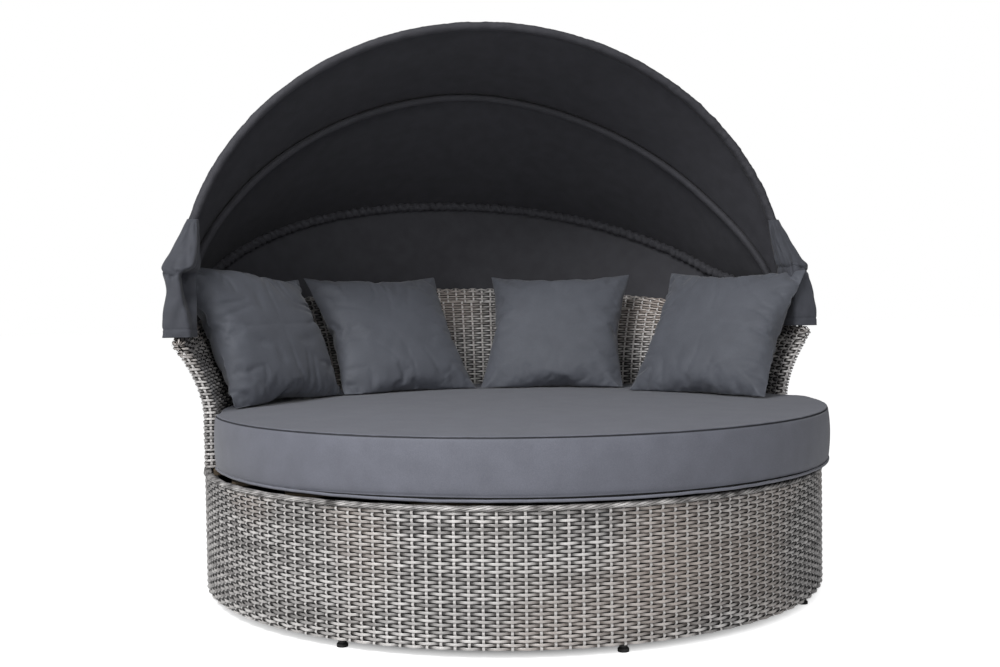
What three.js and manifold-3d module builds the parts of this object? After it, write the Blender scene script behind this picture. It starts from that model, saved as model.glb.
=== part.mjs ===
// Round outdoor daybed: a woven drum base, a curved woven backrest, a round seat cushion, four scatter
// cushions, and a cloth canopy on three bows that fold back about one bolt on each arm top.
// Millimetres, +Z up. The origin is on the floor under the drum's centre, and the open front faces -Y.
import * as THREE from 'three';
import { mergeVertices } from 'three/addons/utils/BufferGeometryUtils.js';
import Module from 'manifold-3d';

const wasm = await Module();
wasm.setup();

// Driving dimensions of the drum
const drumRadius = 900;
const drumFloorGap = 20;
const weaveThickness = 8;
const weaveTop = 340;
const drumFootTuck = 6;
const drumSegments = 60;
const fitGap = 0.3;
const overrun = 6;
const roundSides = 12;
const hexSides = 6;
const plateRoundSides = 24;
const mergeDistance = 1e-4;

// The welded frame inside the drum
const frameTube = 25;
const frameBottom = 27;
const crossRailSpacing = 450;
const crossRailCount = 3;
const footCount = 8;
const footPhaseDegrees = 3.4;

// Feet
const footPadRadius = 14;
const footPadHeight = 7;
const footStemRadius = 10;

// The braid on the drum's top edge
const braidHeight = 14;
const braidOverhang = 4;
const braidWidth = 24;

// Seat slats
const slatThickness = 12;
const slatWidth = 100;
const slatSpacing = 240;
const slatCount = 7;
const slatRingOverlap = 10;

// The backrest
const wallThickness = 38;
const upstandHeight = 44;
const jointLine = 4;
const armTop = 720;
const backTop = 862;
const flare = 83;
const flareStart = 500;
const flarePower = 1.8;
const armEndDegrees = 0;
const railRadius = 9.5;
const railGap = 3.8;
const uprightRadius = 8;
const uprightCount = 6;
const uprightInset = 60;
const uprightSteps = 5;
const backStations = 32;
const wallLevelShares = [0.35, 0.65, 0.87, 1];
const railSides = 6;
const crownPoints = 3;

// Bolts that hold the backrest to the base
const backBoltRadius = 4;
const backBoltHeadRadius = 7.5;
const backBoltHeadHeight = 5.3;
const backBoltCount = 5;
const backBoltInsetDegrees = 14;

// The pivots on the arm tops
const pivotY = 130;
const pivotRise = 35;
const pivotPlateInset = 14;
const pivotPlateThickness = 5;
const pivotPlateWidth = 46;
const pivotBoltRadius = 5;
const pivotHeadRadius = 9;
const pivotHeadHeight = 6;
const pivotNutHeight = 8;
const pivotBoltPoint = 3;
const bushRadius = 9;
const plateSideGap = 5;
const bowSideGap = 3;

// The canopy bows, each a tube with flattened ends
const bowTubeRadius = 9.5;
const bowSteps = 36;
const bowSides = 8;
const eyeThickness = 6;
const eyeRound = 12;
const eyeLength = 34;
const eyeOverlap = 14;
const legEaseStart = 50;
const legEaseEnd = 250;
const crankStart = 100;
const crankEnd = 500;
const frontBowExtraReach = 19;
const frontBowOverhang = 57;
const frontBowStraight = 80;
const middleBowExtraReach = -20;
const middleBowOverhang = 34;
const middleBowStraight = 90;
const middleBowCrank = 44;
const rearBowExtraReach = 120;
const rearBowOverhang = 55;
const rearBowStraight = 60;
const rearBowCrank = 70;
const bowSpecs = {
  front: {
    tilt: 87.1,
    reach: drumRadius + frontBowExtraReach,
    halfWidth: drumRadius + frontBowOverhang,
    squareness: 2.0,
    straight: frontBowStraight,
    crank: 0,
  },
  middle: {
    tilt: 62.7,
    reach: drumRadius + middleBowExtraReach,
    halfWidth: drumRadius + middleBowOverhang,
    squareness: 1.82,
    straight: middleBowStraight,
    crank: middleBowCrank,
  },
  rear: {
    tilt: 28.4,
    reach: drumRadius + rearBowExtraReach,
    halfWidth: drumRadius + rearBowOverhang,
    squareness: 2.08,
    straight: rearBowStraight,
    crank: rearBowCrank,
  },
};

// Canopy cloth
const clothThickness = 4;
const clothEdgeGap = 2.5;
const clothBowGap = 0.6;
const clothTwistGap = 1.6;
const clothSagShare = 0.024;
const panelFirstStation = 1;
const rearPanelFirstStation = 3;
const panelRows = 4;
const hemDrop = 80;
const hemClearance = 4;

// The boots: wide hoods round the pivots that narrow up to the front bow's legs
const bootHemGap = 7;
const bootFrontInset = 5;
const bootBackReach = 170;
const bootReach = 315;
const bootClearance = 3;
const bootLegClearance = 2.3;
const bootInnerDepth = 60;
const bootTopDepth = 40;
const bootCornerRadius = 22;
const bootTopCornerRadius = 12;
const bootLevelShares = [0, 0.2, 0.4, 0.56, 0.75, 1];
const bootNarrowShares = [0, 0.02, 0, 0.08, 0.5, 1];

// Seat cushion
const cushionBackGap = 8;
const cushionFrontInset = 7;
const cushionShift = 24;
const cushionShiftDegrees = -13.4;
const cushionUnderRise = 21.4;
const cushionSideHeight = 134;
const cushionCrownRise = 13;
const cushionSideBulge = 5;
const cushionStations = 64;
const cushionEaseDegrees = 5;
const cushionUnderShares = { radius: [0.82, 0.93], rise: [0, 0.25] };
const cushionCrownShares = { radius: [0.93, 0.75, 0.4], rise: [0.55, 0.9, 1] };

// Scatter cushions, each leaning on the backrest
const pillowSize = 455;
const pillowThickness = 150;
const pillowSideDraw = 16;
const pillowCells = 10;
const pillowEdge = 3;
const pillowSwellPower = 0.42;
const leftEndPillowInset = 107;
const leftPillowInset = 199;
const rightPillowInset = 200;
const rightEndPillowInset = 176;
const pillowSpecs = {
  pillow_left_end: { around: 152.8, inset: leftEndPillowInset, turn: 41, lean: 22 },
  pillow_left: { around: 113.9, inset: leftPillowInset, turn: 13, lean: 33 },
  pillow_right: { around: 63, inset: rightPillowInset, turn: -20, lean: 33 },
  pillow_right_end: { around: 11.6, inset: rightEndPillowInset, turn: -54, lean: 33 },
};

// Colours, as sRGB hex values
const weaveColour = 0x8f8985;
const frameColour = 0x3a3b3d;
const steelColour = 0x9a9c9e;
const plasticColour = 0x1c1c1d;
const slatColour = 0x8a6f52;
const clothColour = 0x3f434a;
const cushionColour = 0x5f646e;

// Derived sizes
const degrees = Math.PI / 180;
const quarterTurn = Math.PI / 2;
const armEnd = armEndDegrees * degrees;
const rimTop = weaveTop + braidHeight;
const ringOuter = drumRadius - weaveThickness - fitGap;
const ringMiddle = ringOuter - frameTube / 2;
const ringInner = ringOuter - frameTube;
const wallMiddle = drumRadius - wallThickness / 2;
const upstandTop = rimTop + upstandHeight;
const coverBottom = upstandTop + jointLine;
const slatTop = weaveTop + fitGap + slatThickness;
const pivotZ = armTop + pivotRise;
const pivotPlateX = wallMiddle + flare - pivotPlateInset;
const cushionFrontRadius = drumRadius - cushionFrontInset;
const cushionBottomSeam = slatTop + fitGap + cushionUnderRise;
const cushionTopSeam = cushionBottomSeam + cushionSideHeight;
const cushionTop = cushionTopSeam + cushionCrownRise;

const group = new THREE.Group();

function finish(colour, roughness, metalness) {
  return new THREE.MeshStandardMaterial({ color: colour, roughness, metalness });
}

function place(name, geometry, material, parent = group) {
  const mesh = new THREE.Mesh(geometry, material);
  mesh.name = name;
  parent.add(mesh);
  return mesh;
}

// Solids from meshes and back, for cuts and joins
function solidOf(geometry) {
  const plain = geometry.clone();
  plain.deleteAttribute('normal');
  plain.deleteAttribute('uv');
  const merged = mergeVertices(plain, mergeDistance);
  return new wasm.Manifold(new wasm.Mesh({
    numProp: 3,
    vertProperties: Float32Array.from(merged.attributes.position.array),
    triVerts: Uint32Array.from(merged.index.array),
  }));
}

function geometryOf(solid) {
  const mesh = solid.getMesh();
  const geometry = new THREE.BufferGeometry();
  geometry.setAttribute('position', new THREE.BufferAttribute(mesh.vertProperties.slice(), 3));
  geometry.setIndex(new THREE.BufferAttribute(mesh.triVerts.slice(), 1));
  return geometry;
}

function join(geometries) {
  return geometries.map(solidOf).reduce((whole, piece) => whole.add(piece));
}

// Turns every face over if the mesh is inside out
function facingOut(geometry) {
  const place = geometry.attributes.position;
  const index = geometry.index.array;
  const corner = [new THREE.Vector3(), new THREE.Vector3(), new THREE.Vector3()];
  let volume = 0;
  for (let i = 0; i < index.length; i += 3) {
    corner.forEach((point, k) => point.fromBufferAttribute(place, index[i + k]));
    volume += corner[0].dot(corner[1].cross(corner[2]));
  }
  if (volume < 0) {
    for (let i = 0; i < index.length; i += 3) {
      [index[i + 1], index[i + 2]] = [index[i + 2], index[i + 1]];
    }
  }
  return geometry;
}

function meshFrom(points, index) {
  const geometry = new THREE.BufferGeometry().setFromPoints(points);
  geometry.setIndex(index);
  return facingOut(geometry);
}

// Skins a row of flat outlines, each put in space by its own placing function, and caps both ends
function loft(outlines, put) {
  const count = outlines[0].length;
  const points = outlines.flatMap((outline, i) => outline.map((p) => put(i, p)));
  const index = [];
  for (let i = 0; i + 1 < outlines.length; i++) {
    for (let k = 0; k < count; k++) {
      const a = i * count + k;
      const b = i * count + ((k + 1) % count);
      index.push(a, b, b + count, a, b + count, a + count);
    }
  }
  const last = (outlines.length - 1) * count;
  for (const [a, b, c] of THREE.ShapeUtils.triangulateShape(outlines[0], [])) index.push(c, b, a);
  for (const [a, b, c] of THREE.ShapeUtils.triangulateShape(outlines.at(-1), [])) {
    index.push(last + a, last + b, last + c);
  }
  return meshFrom(points, index);
}

// Gives a grid of points a thickness, half of it on each side
function sheet(grid, thickness) {
  const rows = grid.length;
  const columns = grid[0].length;
  const at = (i, k) => grid[Math.min(Math.max(i, 0), rows - 1)][Math.min(Math.max(k, 0), columns - 1)];
  const sides = [[], []];
  for (let i = 0; i < rows; i++) {
    for (let k = 0; k < columns; k++) {
      const along = at(i + 1, k).clone().sub(at(i - 1, k));
      const across = at(i, k + 1).clone().sub(at(i, k - 1));
      const normal = along.cross(across).normalize();
      sides[0].push(at(i, k).clone().addScaledVector(normal, thickness / 2));
      sides[1].push(at(i, k).clone().addScaledVector(normal, -thickness / 2));
    }
  }
  const index = [];
  const other = rows * columns;
  for (let i = 0; i + 1 < rows; i++) {
    for (let k = 0; k + 1 < columns; k++) {
      const a = i * columns + k;
      const b = a + columns;
      index.push(a, a + 1, b + 1, a, b + 1, b);
      index.push(other + a, other + b + 1, other + a + 1, other + a, other + b, other + b + 1);
    }
  }
  const rim = [];
  for (let k = 0; k < columns; k++) rim.push(k);
  for (let i = 1; i < rows; i++) rim.push(i * columns + columns - 1);
  for (let k = columns - 2; k >= 0; k--) rim.push((rows - 1) * columns + k);
  for (let i = rows - 2; i > 0; i--) rim.push(i * columns);
  rim.forEach((a, n) => {
    const b = rim[(n + 1) % rim.length];
    index.push(b, a, other + a, b, other + a, other + b);
  });
  return meshFrom([...sides[0], ...sides[1]], index);
}

function mirrored(geometry) {
  const flipped = geometry.clone().scale(-1, 1, 1);
  return facingOut(flipped);
}

function smooth(value) {
  const share = THREE.MathUtils.clamp(value, 0, 1);
  return share * share * (3 - 2 * share);
}

function ring(inner, outer, bottom, top) {
  const profile = [[inner, bottom], [outer, bottom], [outer, top], [inner, top], [inner, bottom]];
  return new THREE.LatheGeometry(profile.map(([x, y]) => new THREE.Vector2(x, y)), drumSegments)
    .rotateX(Math.PI / 2);
}

function box(width, depth, height, x, y, z) {
  return new THREE.BoxGeometry(width, depth, height).translate(x, y, z);
}

function rodX(radius, from, to, y, z, sides = roundSides) {
  return new THREE.CylinderGeometry(radius, radius, to - from, sides)
    .rotateZ(Math.PI / 2).translate((from + to) / 2, y, z);
}

function rodZ(radius, from, to, x, y, sides = roundSides) {
  return new THREE.CylinderGeometry(radius, radius, to - from, sides)
    .rotateX(Math.PI / 2).translate(x, y, (from + to) / 2);
}

function tube(curve, radius, steps, sides) {
  const section = new THREE.Shape();
  for (let k = 0; k < sides; k++) {
    const angle = (k / sides) * 2 * Math.PI;
    section[k ? 'lineTo' : 'moveTo'](radius * Math.cos(angle), radius * Math.sin(angle));
  }
  return new THREE.ExtrudeGeometry(section, { steps, extrudePath: curve, bevelEnabled: false });
}

// The drum: woven wall, rim braid and welded frame
function buildDrum() {
  const weave = finish(weaveColour, 0.55, 0);
  const wall = [
    [drumRadius - drumFootTuck - weaveThickness, drumFloorGap],
    [drumRadius - drumFootTuck, drumFloorGap],
    [drumRadius, drumFloorGap + frameTube],
    [drumRadius, weaveTop],
    [drumRadius - weaveThickness, weaveTop],
    [drumRadius - weaveThickness, drumFloorGap + frameTube],
    [drumRadius - drumFootTuck - weaveThickness, drumFloorGap],
  ];
  const wallShape = new THREE.LatheGeometry(wall.map(([x, y]) => new THREE.Vector2(x, y)), drumSegments);
  place('base_weave', wallShape.rotateX(Math.PI / 2), weave);

  const braidOuter = drumRadius + braidOverhang;
  const braidMiddle = braidOuter - braidWidth / 2;
  const braid = [];
  const braidPoints = 8;
  for (let k = 0; k <= braidPoints; k++) {
    const angle = (k / braidPoints) * 2 * Math.PI + Math.PI / braidPoints;
    const squash = Math.cos(Math.PI / braidPoints);
    braid.push(new THREE.Vector2(
      braidMiddle + (braidWidth / 2 / squash) * Math.cos(angle),
      weaveTop + fitGap + (braidHeight - fitGap) / 2 * (1 + Math.sin(angle) / squash),
    ));
  }
  const braidShape = new THREE.LatheGeometry(braid, drumSegments).rotateX(Math.PI / 2);
  place('base_rim_braid', cutBackBolts(solidOf(braidShape)), weave);
}

function cutBackBolts(solid) {
  let cut = solid;
  for (const angle of backBoltAngles()) {
    const x = wallMiddle * Math.cos(angle);
    const y = wallMiddle * Math.sin(angle);
    const from = weaveTop - frameTube - overrun;
    const to = coverBottom + frameTube;
    cut = cut.subtract(solidOf(rodZ(backBoltRadius + fitGap, from, to, x, y)));
  }
  return geometryOf(cut);
}

function backBoltAngles() {
  const first = armEnd + backBoltInsetDegrees * degrees;
  const span = Math.PI - 2 * first;
  return Array.from({ length: backBoltCount }, (_, k) => first + (span * k) / (backBoltCount - 1));
}

function footAngles() {
  const phase = footPhaseDegrees * degrees - quarterTurn;
  return Array.from({ length: footCount }, (_, k) => phase + (k / footCount) * 2 * Math.PI);
}

function buildBaseFrame() {
  const bottomTop = frameBottom + frameTube;
  const railBottom = weaveTop - frameTube;
  const inset = drumFootTuck;
  const pieces = [
    ring(ringInner - inset, ringOuter - inset, frameBottom, bottomTop),
    ring(ringInner, ringOuter, railBottom, weaveTop),
  ];
  for (const angle of footAngles()) {
    const post = box(frameTube, frameTube, railBottom - frameBottom, 0, 0, (railBottom + frameBottom) / 2);
    post.translate(ringMiddle - inset, 0, frameTube / 4).rotateZ(angle);
    pieces.push(post);
  }
  for (let k = 0; k < crossRailCount; k++) {
    const x = (k - (crossRailCount - 1) / 2) * crossRailSpacing;
    const length = 2 * Math.sqrt(ringMiddle ** 2 - (Math.abs(x) + frameTube / 2) ** 2);
    pieces.push(box(frameTube, length, frameTube, x, 0, weaveTop - frameTube / 2));
  }
  const postHeight = railBottom - frameBottom + frameTube / 2;
  pieces.push(box(frameTube, frameTube, postHeight, 0, 0, frameBottom + postHeight / 2));
  place('base_frame', cutBackBolts(join(pieces)), finish(frameColour, 0.5, 0.6));
}

function buildFeet() {
  const plastic = finish(plasticColour, 0.5, 0);
  const profile = [
    [0, 0],
    [footPadRadius, 0],
    [footPadRadius, footPadHeight],
    [footStemRadius, footPadHeight + footPadRadius - footStemRadius],
    [footStemRadius, frameBottom - fitGap],
    [0, frameBottom - fitGap],
  ];
  const foot = new THREE.LatheGeometry(profile.map(([x, y]) => new THREE.Vector2(x, y)), roundSides)
    .rotateX(Math.PI / 2);
  footAngles().forEach((angle, k) => {
    const mesh = place(`foot_${k + 1}`, foot, plastic);
    const radius = ringMiddle - drumFootTuck;
    mesh.position.set(radius * Math.cos(angle), radius * Math.sin(angle), 0);
  });
  place('foot_centre', foot, plastic);
}

function buildSlats() {
  const timber = finish(slatColour, 0.7, 0);
  const reach = ringInner + slatRingOverlap;
  for (let k = 0; k < slatCount; k++) {
    const y = (k - (slatCount - 1) / 2) * slatSpacing;
    const length = 2 * Math.sqrt(reach ** 2 - (Math.abs(y) + slatWidth / 2) ** 2);
    const slat = new THREE.BoxGeometry(length, slatWidth, slatThickness);
    place(`seat_slat_${k + 1}`, slat, timber).position.set(0, y, slatTop - slatThickness / 2);
  }
}

// The wall's middle line leans outward above the flare's start
function wallTopAt(angle) {
  return armTop + (backTop - armTop) * Math.max(Math.sin(angle), 0);
}

function wallRadiusAt(z, top) {
  const share = Math.max(z - flareStart, 0) / (top - flareStart);
  return wallMiddle + flare * share ** flarePower;
}

function stationAngle(k, inset = 0) {
  const first = armEnd + inset;
  return first + ((Math.PI - 2 * first) * k) / backStations;
}

function onArc(angle, point) {
  return new THREE.Vector3(point.x * Math.cos(angle), point.x * Math.sin(angle), point.y);
}

// The pivot plates start at the middle of the backrest's top rail
const pivotAngle = Math.asin(pivotY / (wallMiddle + flare));
const plateBottom = wallTopAt(pivotAngle) - wallThickness / 2;

// One upright section of the backrest, with a half-round top
function wallSection(angle, bottom, halfWidth) {
  const top = wallTopAt(angle);
  const shoulder = top - wallThickness / 2;
  const flared = wallLevelShares.map((share) => flareStart + (shoulder - flareStart) * share);
  const levels = [bottom, flareStart, ...flared];
  const outer = levels.map((z) => new THREE.Vector2(wallRadiusAt(z, shoulder) + halfWidth, z));
  const inner = levels.map((z) => new THREE.Vector2(wallRadiusAt(z, shoulder) - halfWidth, z)).reverse();
  const crown = Array.from({ length: crownPoints }, (_, k) => {
    const turn = ((k + 1) / (crownPoints + 1)) * Math.PI;
    return new THREE.Vector2(
      wallRadiusAt(shoulder, shoulder) + halfWidth * Math.cos(turn),
      shoulder + halfWidth * Math.sin(turn),
    );
  });
  return [...outer, ...crown, ...inner];
}

function buildBackrest() {
  const weave = finish(weaveColour, 0.55, 0);
  const stations = Array.from({ length: backStations + 1 }, (_, k) => k);

  const upstand = stations.map(() => [
    new THREE.Vector2(drumRadius - wallThickness, rimTop + fitGap),
    new THREE.Vector2(drumRadius, rimTop + fitGap),
    new THREE.Vector2(drumRadius, upstandTop),
    new THREE.Vector2(drumRadius - wallThickness, upstandTop),
  ]);
  const upstandShape = loft(upstand, (k, p) => onArc(stationAngle(k), p));
  place('back_upstand', cutBackBolts(solidOf(upstandShape)), weave);

  const cover = stations.map((k) => wallSection(stationAngle(k), coverBottom, wallThickness / 2));
  const coverShape = loft(cover, (k, p) => onArc(stationAngle(k), p));
  const endWall = (wallThickness / 2 - railRadius) / wallMiddle;
  const hollow = stations.map((k) => {
    return wallSection(stationAngle(k, endWall), coverBottom - overrun, railRadius + railGap);
  });
  const hollowShape = loft(hollow, (k, p) => onArc(stationAngle(k, endWall), p));
  let coverSolid = solidOf(coverShape).subtract(solidOf(hollowShape));
  const slotHeight = pivotZ - plateBottom;
  for (const side of [-1, 1]) {
    const slot = box(
      pivotPlateThickness + 2 * fitGap, pivotPlateWidth + 2 * fitGap, slotHeight,
      side * pivotPlateX, pivotY, plateBottom + slotHeight / 2,
    );
    coverSolid = coverSolid.subtract(solidOf(slot));
  }
  place('backrest_weave', geometryOf(coverSolid), weave);

  const frame = backRails(railRadius);
  const first = armEnd + uprightInset / wallMiddle;
  for (let k = 0; k < uprightCount; k++) {
    const angle = first + ((Math.PI - 2 * first) * k) / (uprightCount - 1);
    const railZ = wallTopAt(angle) - wallThickness / 2;
    const low = upstandTop + fitGap + railRadius;
    const points = Array.from({ length: uprightSteps + 1 }, (_, n) => {
      const z = low + ((railZ - low) * n) / uprightSteps;
      return onArc(angle, new THREE.Vector2(wallRadiusAt(z, railZ), z));
    });
    frame.push(tube(new THREE.CatmullRomCurve3(points), uprightRadius, uprightSteps, railSides));
  }
  place('backrest_frame', cutBackBolts(join(frame)), finish(frameColour, 0.5, 0.6));
}

// The backrest frame's two rails, which the pivot plates also stand on
function backRails(radius) {
  const inset = wallThickness / 2 / wallMiddle;
  const top = [];
  const bottom = [];
  for (let k = 0; k <= backStations; k++) {
    const angle = stationAngle(k, inset);
    const railZ = wallTopAt(angle) - wallThickness / 2;
    top.push(onArc(angle, new THREE.Vector2(wallRadiusAt(railZ, railZ), railZ)));
    bottom.push(onArc(angle, new THREE.Vector2(wallMiddle, upstandTop + fitGap + railRadius)));
  }
  return [top, bottom].map((points) => {
    return tube(new THREE.CatmullRomCurve3(points), radius, backStations, railSides);
  });
}

function buildBackBolts() {
  const steel = finish(steelColour, 0.35, 0.9);
  const under = weaveTop - frameTube;
  backBoltAngles().forEach((angle, k) => {
    const shank = rodZ(backBoltRadius, under - overrun / 2, upstandTop + frameTube, 0, 0);
    const headTop = under - fitGap;
    const head = rodZ(backBoltHeadRadius, headTop - backBoltHeadHeight, headTop, 0, 0, hexSides);
    const mesh = place(`backrest_bolt_${k + 1}`, geometryOf(join([shank, head])), steel);
    mesh.position.set(wallMiddle * Math.cos(angle), wallMiddle * Math.sin(angle), 0);
  });
}

// Places on the pivot bolt, measured outward from the daybed's middle
const middleEyeX = pivotPlateX - pivotPlateThickness / 2 - plateSideGap - bowTubeRadius;
const frontEyeX = pivotPlateX + pivotPlateThickness / 2 + plateSideGap + bowTubeRadius;
const rearEyeX = frontEyeX + 2 * bowTubeRadius + bowSideGap;
const boltHeadFace = middleEyeX - eyeThickness / 2 - fitGap;
const boltNutFace = rearEyeX + eyeThickness / 2 + fitGap;
const boltEnd = boltNutFace + pivotNutHeight + pivotBoltPoint;
const eyePlaces = { front: frontEyeX, middle: middleEyeX, rear: rearEyeX };

function bowAxes(name) {
  const tilt = bowSpecs[name].tilt * degrees;
  return {
    out: new THREE.Vector3(0, Math.cos(tilt), Math.sin(tilt)),
    behind: new THREE.Vector3(0, Math.sin(tilt), -Math.cos(tilt)),
  };
}

// A point of a bow's middle line on the right half, for a distance out from the pivot
function bowPoint(name, across, out) {
  const { crank } = bowSpecs[name];
  const axes = bowAxes(name);
  const back = crank * smooth((out - crankStart) / (crankEnd - crankStart));
  return new THREE.Vector3(across, pivotY, pivotZ)
    .addScaledVector(axes.out, out)
    .addScaledVector(axes.behind, back);
}

// How far a bow lies from the daybed's middle, for a distance out from the pivot
function bowAcross(name, out) {
  const { reach, halfWidth, squareness, straight } = bowSpecs[name];
  const share = THREE.MathUtils.clamp((out - straight) / (reach - straight), 0, 1);
  const across = halfWidth * (1 - share ** squareness) ** (1 / squareness);
  const eased = smooth((out - legEaseStart) / (legEaseEnd - legEaseStart));
  return THREE.MathUtils.lerp(eyePlaces[name], across, eased);
}

function bowCurve(name) {
  const { reach, squareness, straight } = bowSpecs[name];
  const right = [];
  const legPoints = 3;
  for (let k = 0; k < legPoints; k++) {
    const out = THREE.MathUtils.lerp(eyeLength, straight, k / legPoints);
    right.push(bowPoint(name, bowAcross(name, out), out));
  }
  const arcPoints = 20;
  for (let k = 0; k < arcPoints; k++) {
    const turn = (k / arcPoints) * Math.PI / 2;
    const out = straight + (reach - straight) * Math.sin(turn) ** (2 / squareness);
    right.push(bowPoint(name, bowAcross(name, out), out));
  }
  const left = right.slice().reverse().map((p) => new THREE.Vector3(-p.x, p.y, p.z));
  return new THREE.CatmullRomCurve3([...right, bowPoint(name, 0, reach), ...left], false, 'centripetal');
}

const bowCurves = Object.fromEntries(Object.keys(bowSpecs).map((name) => [name, bowCurve(name)]));

function buildBows() {
  const coat = finish(frameColour, 0.45, 0.5);
  for (const name of Object.keys(bowSpecs)) {
    const pieces = [tube(bowCurves[name], bowTubeRadius, bowSteps, bowSides)];
    const tongueLength = eyeLength + eyeOverlap;
    for (const side of [-1, 1]) {
      const tongue = box(eyeThickness, tongueLength, 2 * eyeRound, 0, tongueLength / 2, 0)
        .rotateX(bowSpecs[name].tilt * degrees)
        .translate(side * eyePlaces[name], pivotY, pivotZ);
      const x = side * eyePlaces[name];
      pieces.push(tongue, rodX(eyeRound, x - eyeThickness / 2, x + eyeThickness / 2, pivotY, pivotZ));
    }
    let bow = join(pieces);
    const hole = rodX(pivotBoltRadius + fitGap, -drumRadius * 2, drumRadius * 2, pivotY, pivotZ);
    bow = bow.subtract(solidOf(hole));
    place(`${name}_bow`, geometryOf(bow), coat);
  }
}

function buildPivots() {
  const coat = finish(frameColour, 0.45, 0.5);
  const steel = finish(steelColour, 0.3, 0.9);
  const nylon = finish(plasticColour, 0.6, 0);
  const [topRail] = backRails(railRadius + fitGap);
  const plateFace = pivotPlateThickness / 2;
  const eyeFace = eyeThickness / 2;
  const bushes = {
    middle: [middleEyeX + eyeFace, pivotPlateX - plateFace],
    front: [pivotPlateX + plateFace, frontEyeX - eyeFace],
    rear: [frontEyeX + eyeFace, rearEyeX - eyeFace],
  };
  for (const [label, side] of [['left', -1], ['right', 1]]) {
    const own = (geometry) => (side < 0 ? mirrored(geometry) : geometry);

    const height = pivotZ - plateBottom;
    const bladeZ = plateBottom + height / 2;
    const blade = box(pivotPlateThickness, pivotPlateWidth, height, pivotPlateX, pivotY, bladeZ);
    const [plateIn, plateOut] = [pivotPlateX - plateFace, pivotPlateX + plateFace];
    const round = rodX(pivotPlateWidth / 2, plateIn, plateOut, pivotY, pivotZ, plateRoundSides);
    const hole = rodX(pivotBoltRadius + fitGap, 0, drumRadius * 2, pivotY, pivotZ);
    const plate = join([blade, round]).subtract(solidOf(hole)).subtract(solidOf(topRail));
    place(`pivot_plate_${label}`, own(geometryOf(plate)), coat);

    const shank = rodX(pivotBoltRadius, boltHeadFace - pivotHeadHeight / 2, boltEnd, pivotY, pivotZ);
    const headEnd = boltHeadFace - pivotHeadHeight;
    const head = rodX(pivotHeadRadius, headEnd, boltHeadFace, pivotY, pivotZ, hexSides);
    place(`pivot_bolt_${label}`, own(geometryOf(join([shank, head]))), steel);

    const nutEnd = boltNutFace + pivotNutHeight;
    const nut = rodX(pivotHeadRadius, boltNutFace, nutEnd, pivotY, pivotZ, hexSides);
    const thread = rodX(pivotBoltRadius + fitGap, boltNutFace - overrun, nutEnd + overrun, pivotY, pivotZ);
    place(`pivot_nut_${label}`, own(geometryOf(solidOf(nut).subtract(solidOf(thread)))), steel);

    for (const [name, [from, to]] of Object.entries(bushes)) {
      const bush = rodX(bushRadius, from + fitGap, to - fitGap, pivotY, pivotZ);
      const bore = rodX(pivotBoltRadius + fitGap, from - overrun, to + overrun, pivotY, pivotZ);
      place(`${name}_bush_${label}`, own(geometryOf(solidOf(bush).subtract(solidOf(bore)))), nylon);
    }
  }
}

// A place on a bow, by its station from the right pivot to the left one
function bowStation(name, k) {
  return {
    place: bowCurves[name].getPointAt(k / bowSteps),
    along: bowCurves[name].getTangentAt(k / bowSteps),
  };
}

// The rear panel's hem hangs outside the backrest, straight out from the rear bow's station
function hemStation(k) {
  const { place, along } = bowStation('rear', k);
  const angle = Math.atan2(place.y, place.x);
  const radius = wallMiddle + flare + wallThickness / 2 + hemClearance + clothThickness / 2;
  return { place: onArc(angle, new THREE.Vector2(radius, wallTopAt(angle) - hemDrop)), along };
}

const panelEnds = {
  front: (k) => [bowStation('front', k), bowStation('middle', k)],
  middle: (k) => [bowStation('middle', k), bowStation('rear', k)],
  rear: (k) => [bowStation('rear', k), hemStation(k)],
};

function panelNormal(panel, k, direction) {
  const [a, b] = panelEnds[panel](k);
  const run = b.place.clone().sub(a.place);
  const along = direction ?? a.along.clone().add(b.along);
  const normal = along.clone().cross(run).normalize();
  const outward = a.place.clone().sub(new THREE.Vector3(0, pivotY, pivotZ));
  return normal.dot(outward) < 0 ? normal.negate() : normal;
}

// Where cloth lies over a bow: out along the mean of the two panels that meet there
function clothOver(bow, panels, k, gap = clothBowGap) {
  const { place: middle, along } = bowStation(bow, k);
  const normals = panels.map((panel) => panelNormal(panel, k, along));
  const mean = normals.reduce((sum, normal) => sum.add(normal), new THREE.Vector3()).normalize();
  const lift = bowTubeRadius + gap + clothThickness / 2;
  return middle.addScaledVector(mean, lift / mean.dot(panelNormal(panels[0], k, along)));
}

// A panel of cloth between two rows of places, drawn in from both and sagging a little
function buildPanel(name, panel, firstStation, sagShare, fromPlace, toPlace) {
  const rows = Array.from({ length: panelRows + 1 }, () => []);
  for (let k = firstStation; k <= bowSteps - firstStation; k++) {
    const from = fromPlace(k);
    const to = toPlace(k);
    const run = to.clone().sub(from);
    const length = run.length();
    run.normalize();
    const out = panelNormal(panel, k);
    rows.forEach((row, r) => {
      const share = r / panelRows;
      const reach = THREE.MathUtils.lerp(clothEdgeGap, length - clothEdgeGap, share);
      const sag = sagShare * length * 4 * share * (1 - share);
      row.push(from.clone().addScaledVector(run, reach).addScaledVector(out, -sag));
    });
  }
  place(name, sheet(rows, clothThickness), finish(clothColour, 0.85, 0));
}

function buildPanels() {
  const overFront = (k) => clothOver('front', ['front'], k);
  const overMiddle = (k) => clothOver('middle', ['front', 'middle'], k);
  const overRear = (k) => clothOver('rear', ['middle', 'rear'], k);
  const twistedOverRear = (k) => clothOver('rear', ['middle', 'rear'], k, clothTwistGap);
  const hem = (k) => hemStation(k).place;
  const first = panelFirstStation;
  buildPanel('canopy_front_panel', 'front', first, clothSagShare, overFront, overMiddle);
  buildPanel('canopy_middle_panel', 'middle', first, clothSagShare, overMiddle, twistedOverRear);
  buildPanel('canopy_rear_panel', 'rear', rearPanelFirstStation, 0, overRear, hem);
}

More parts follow.
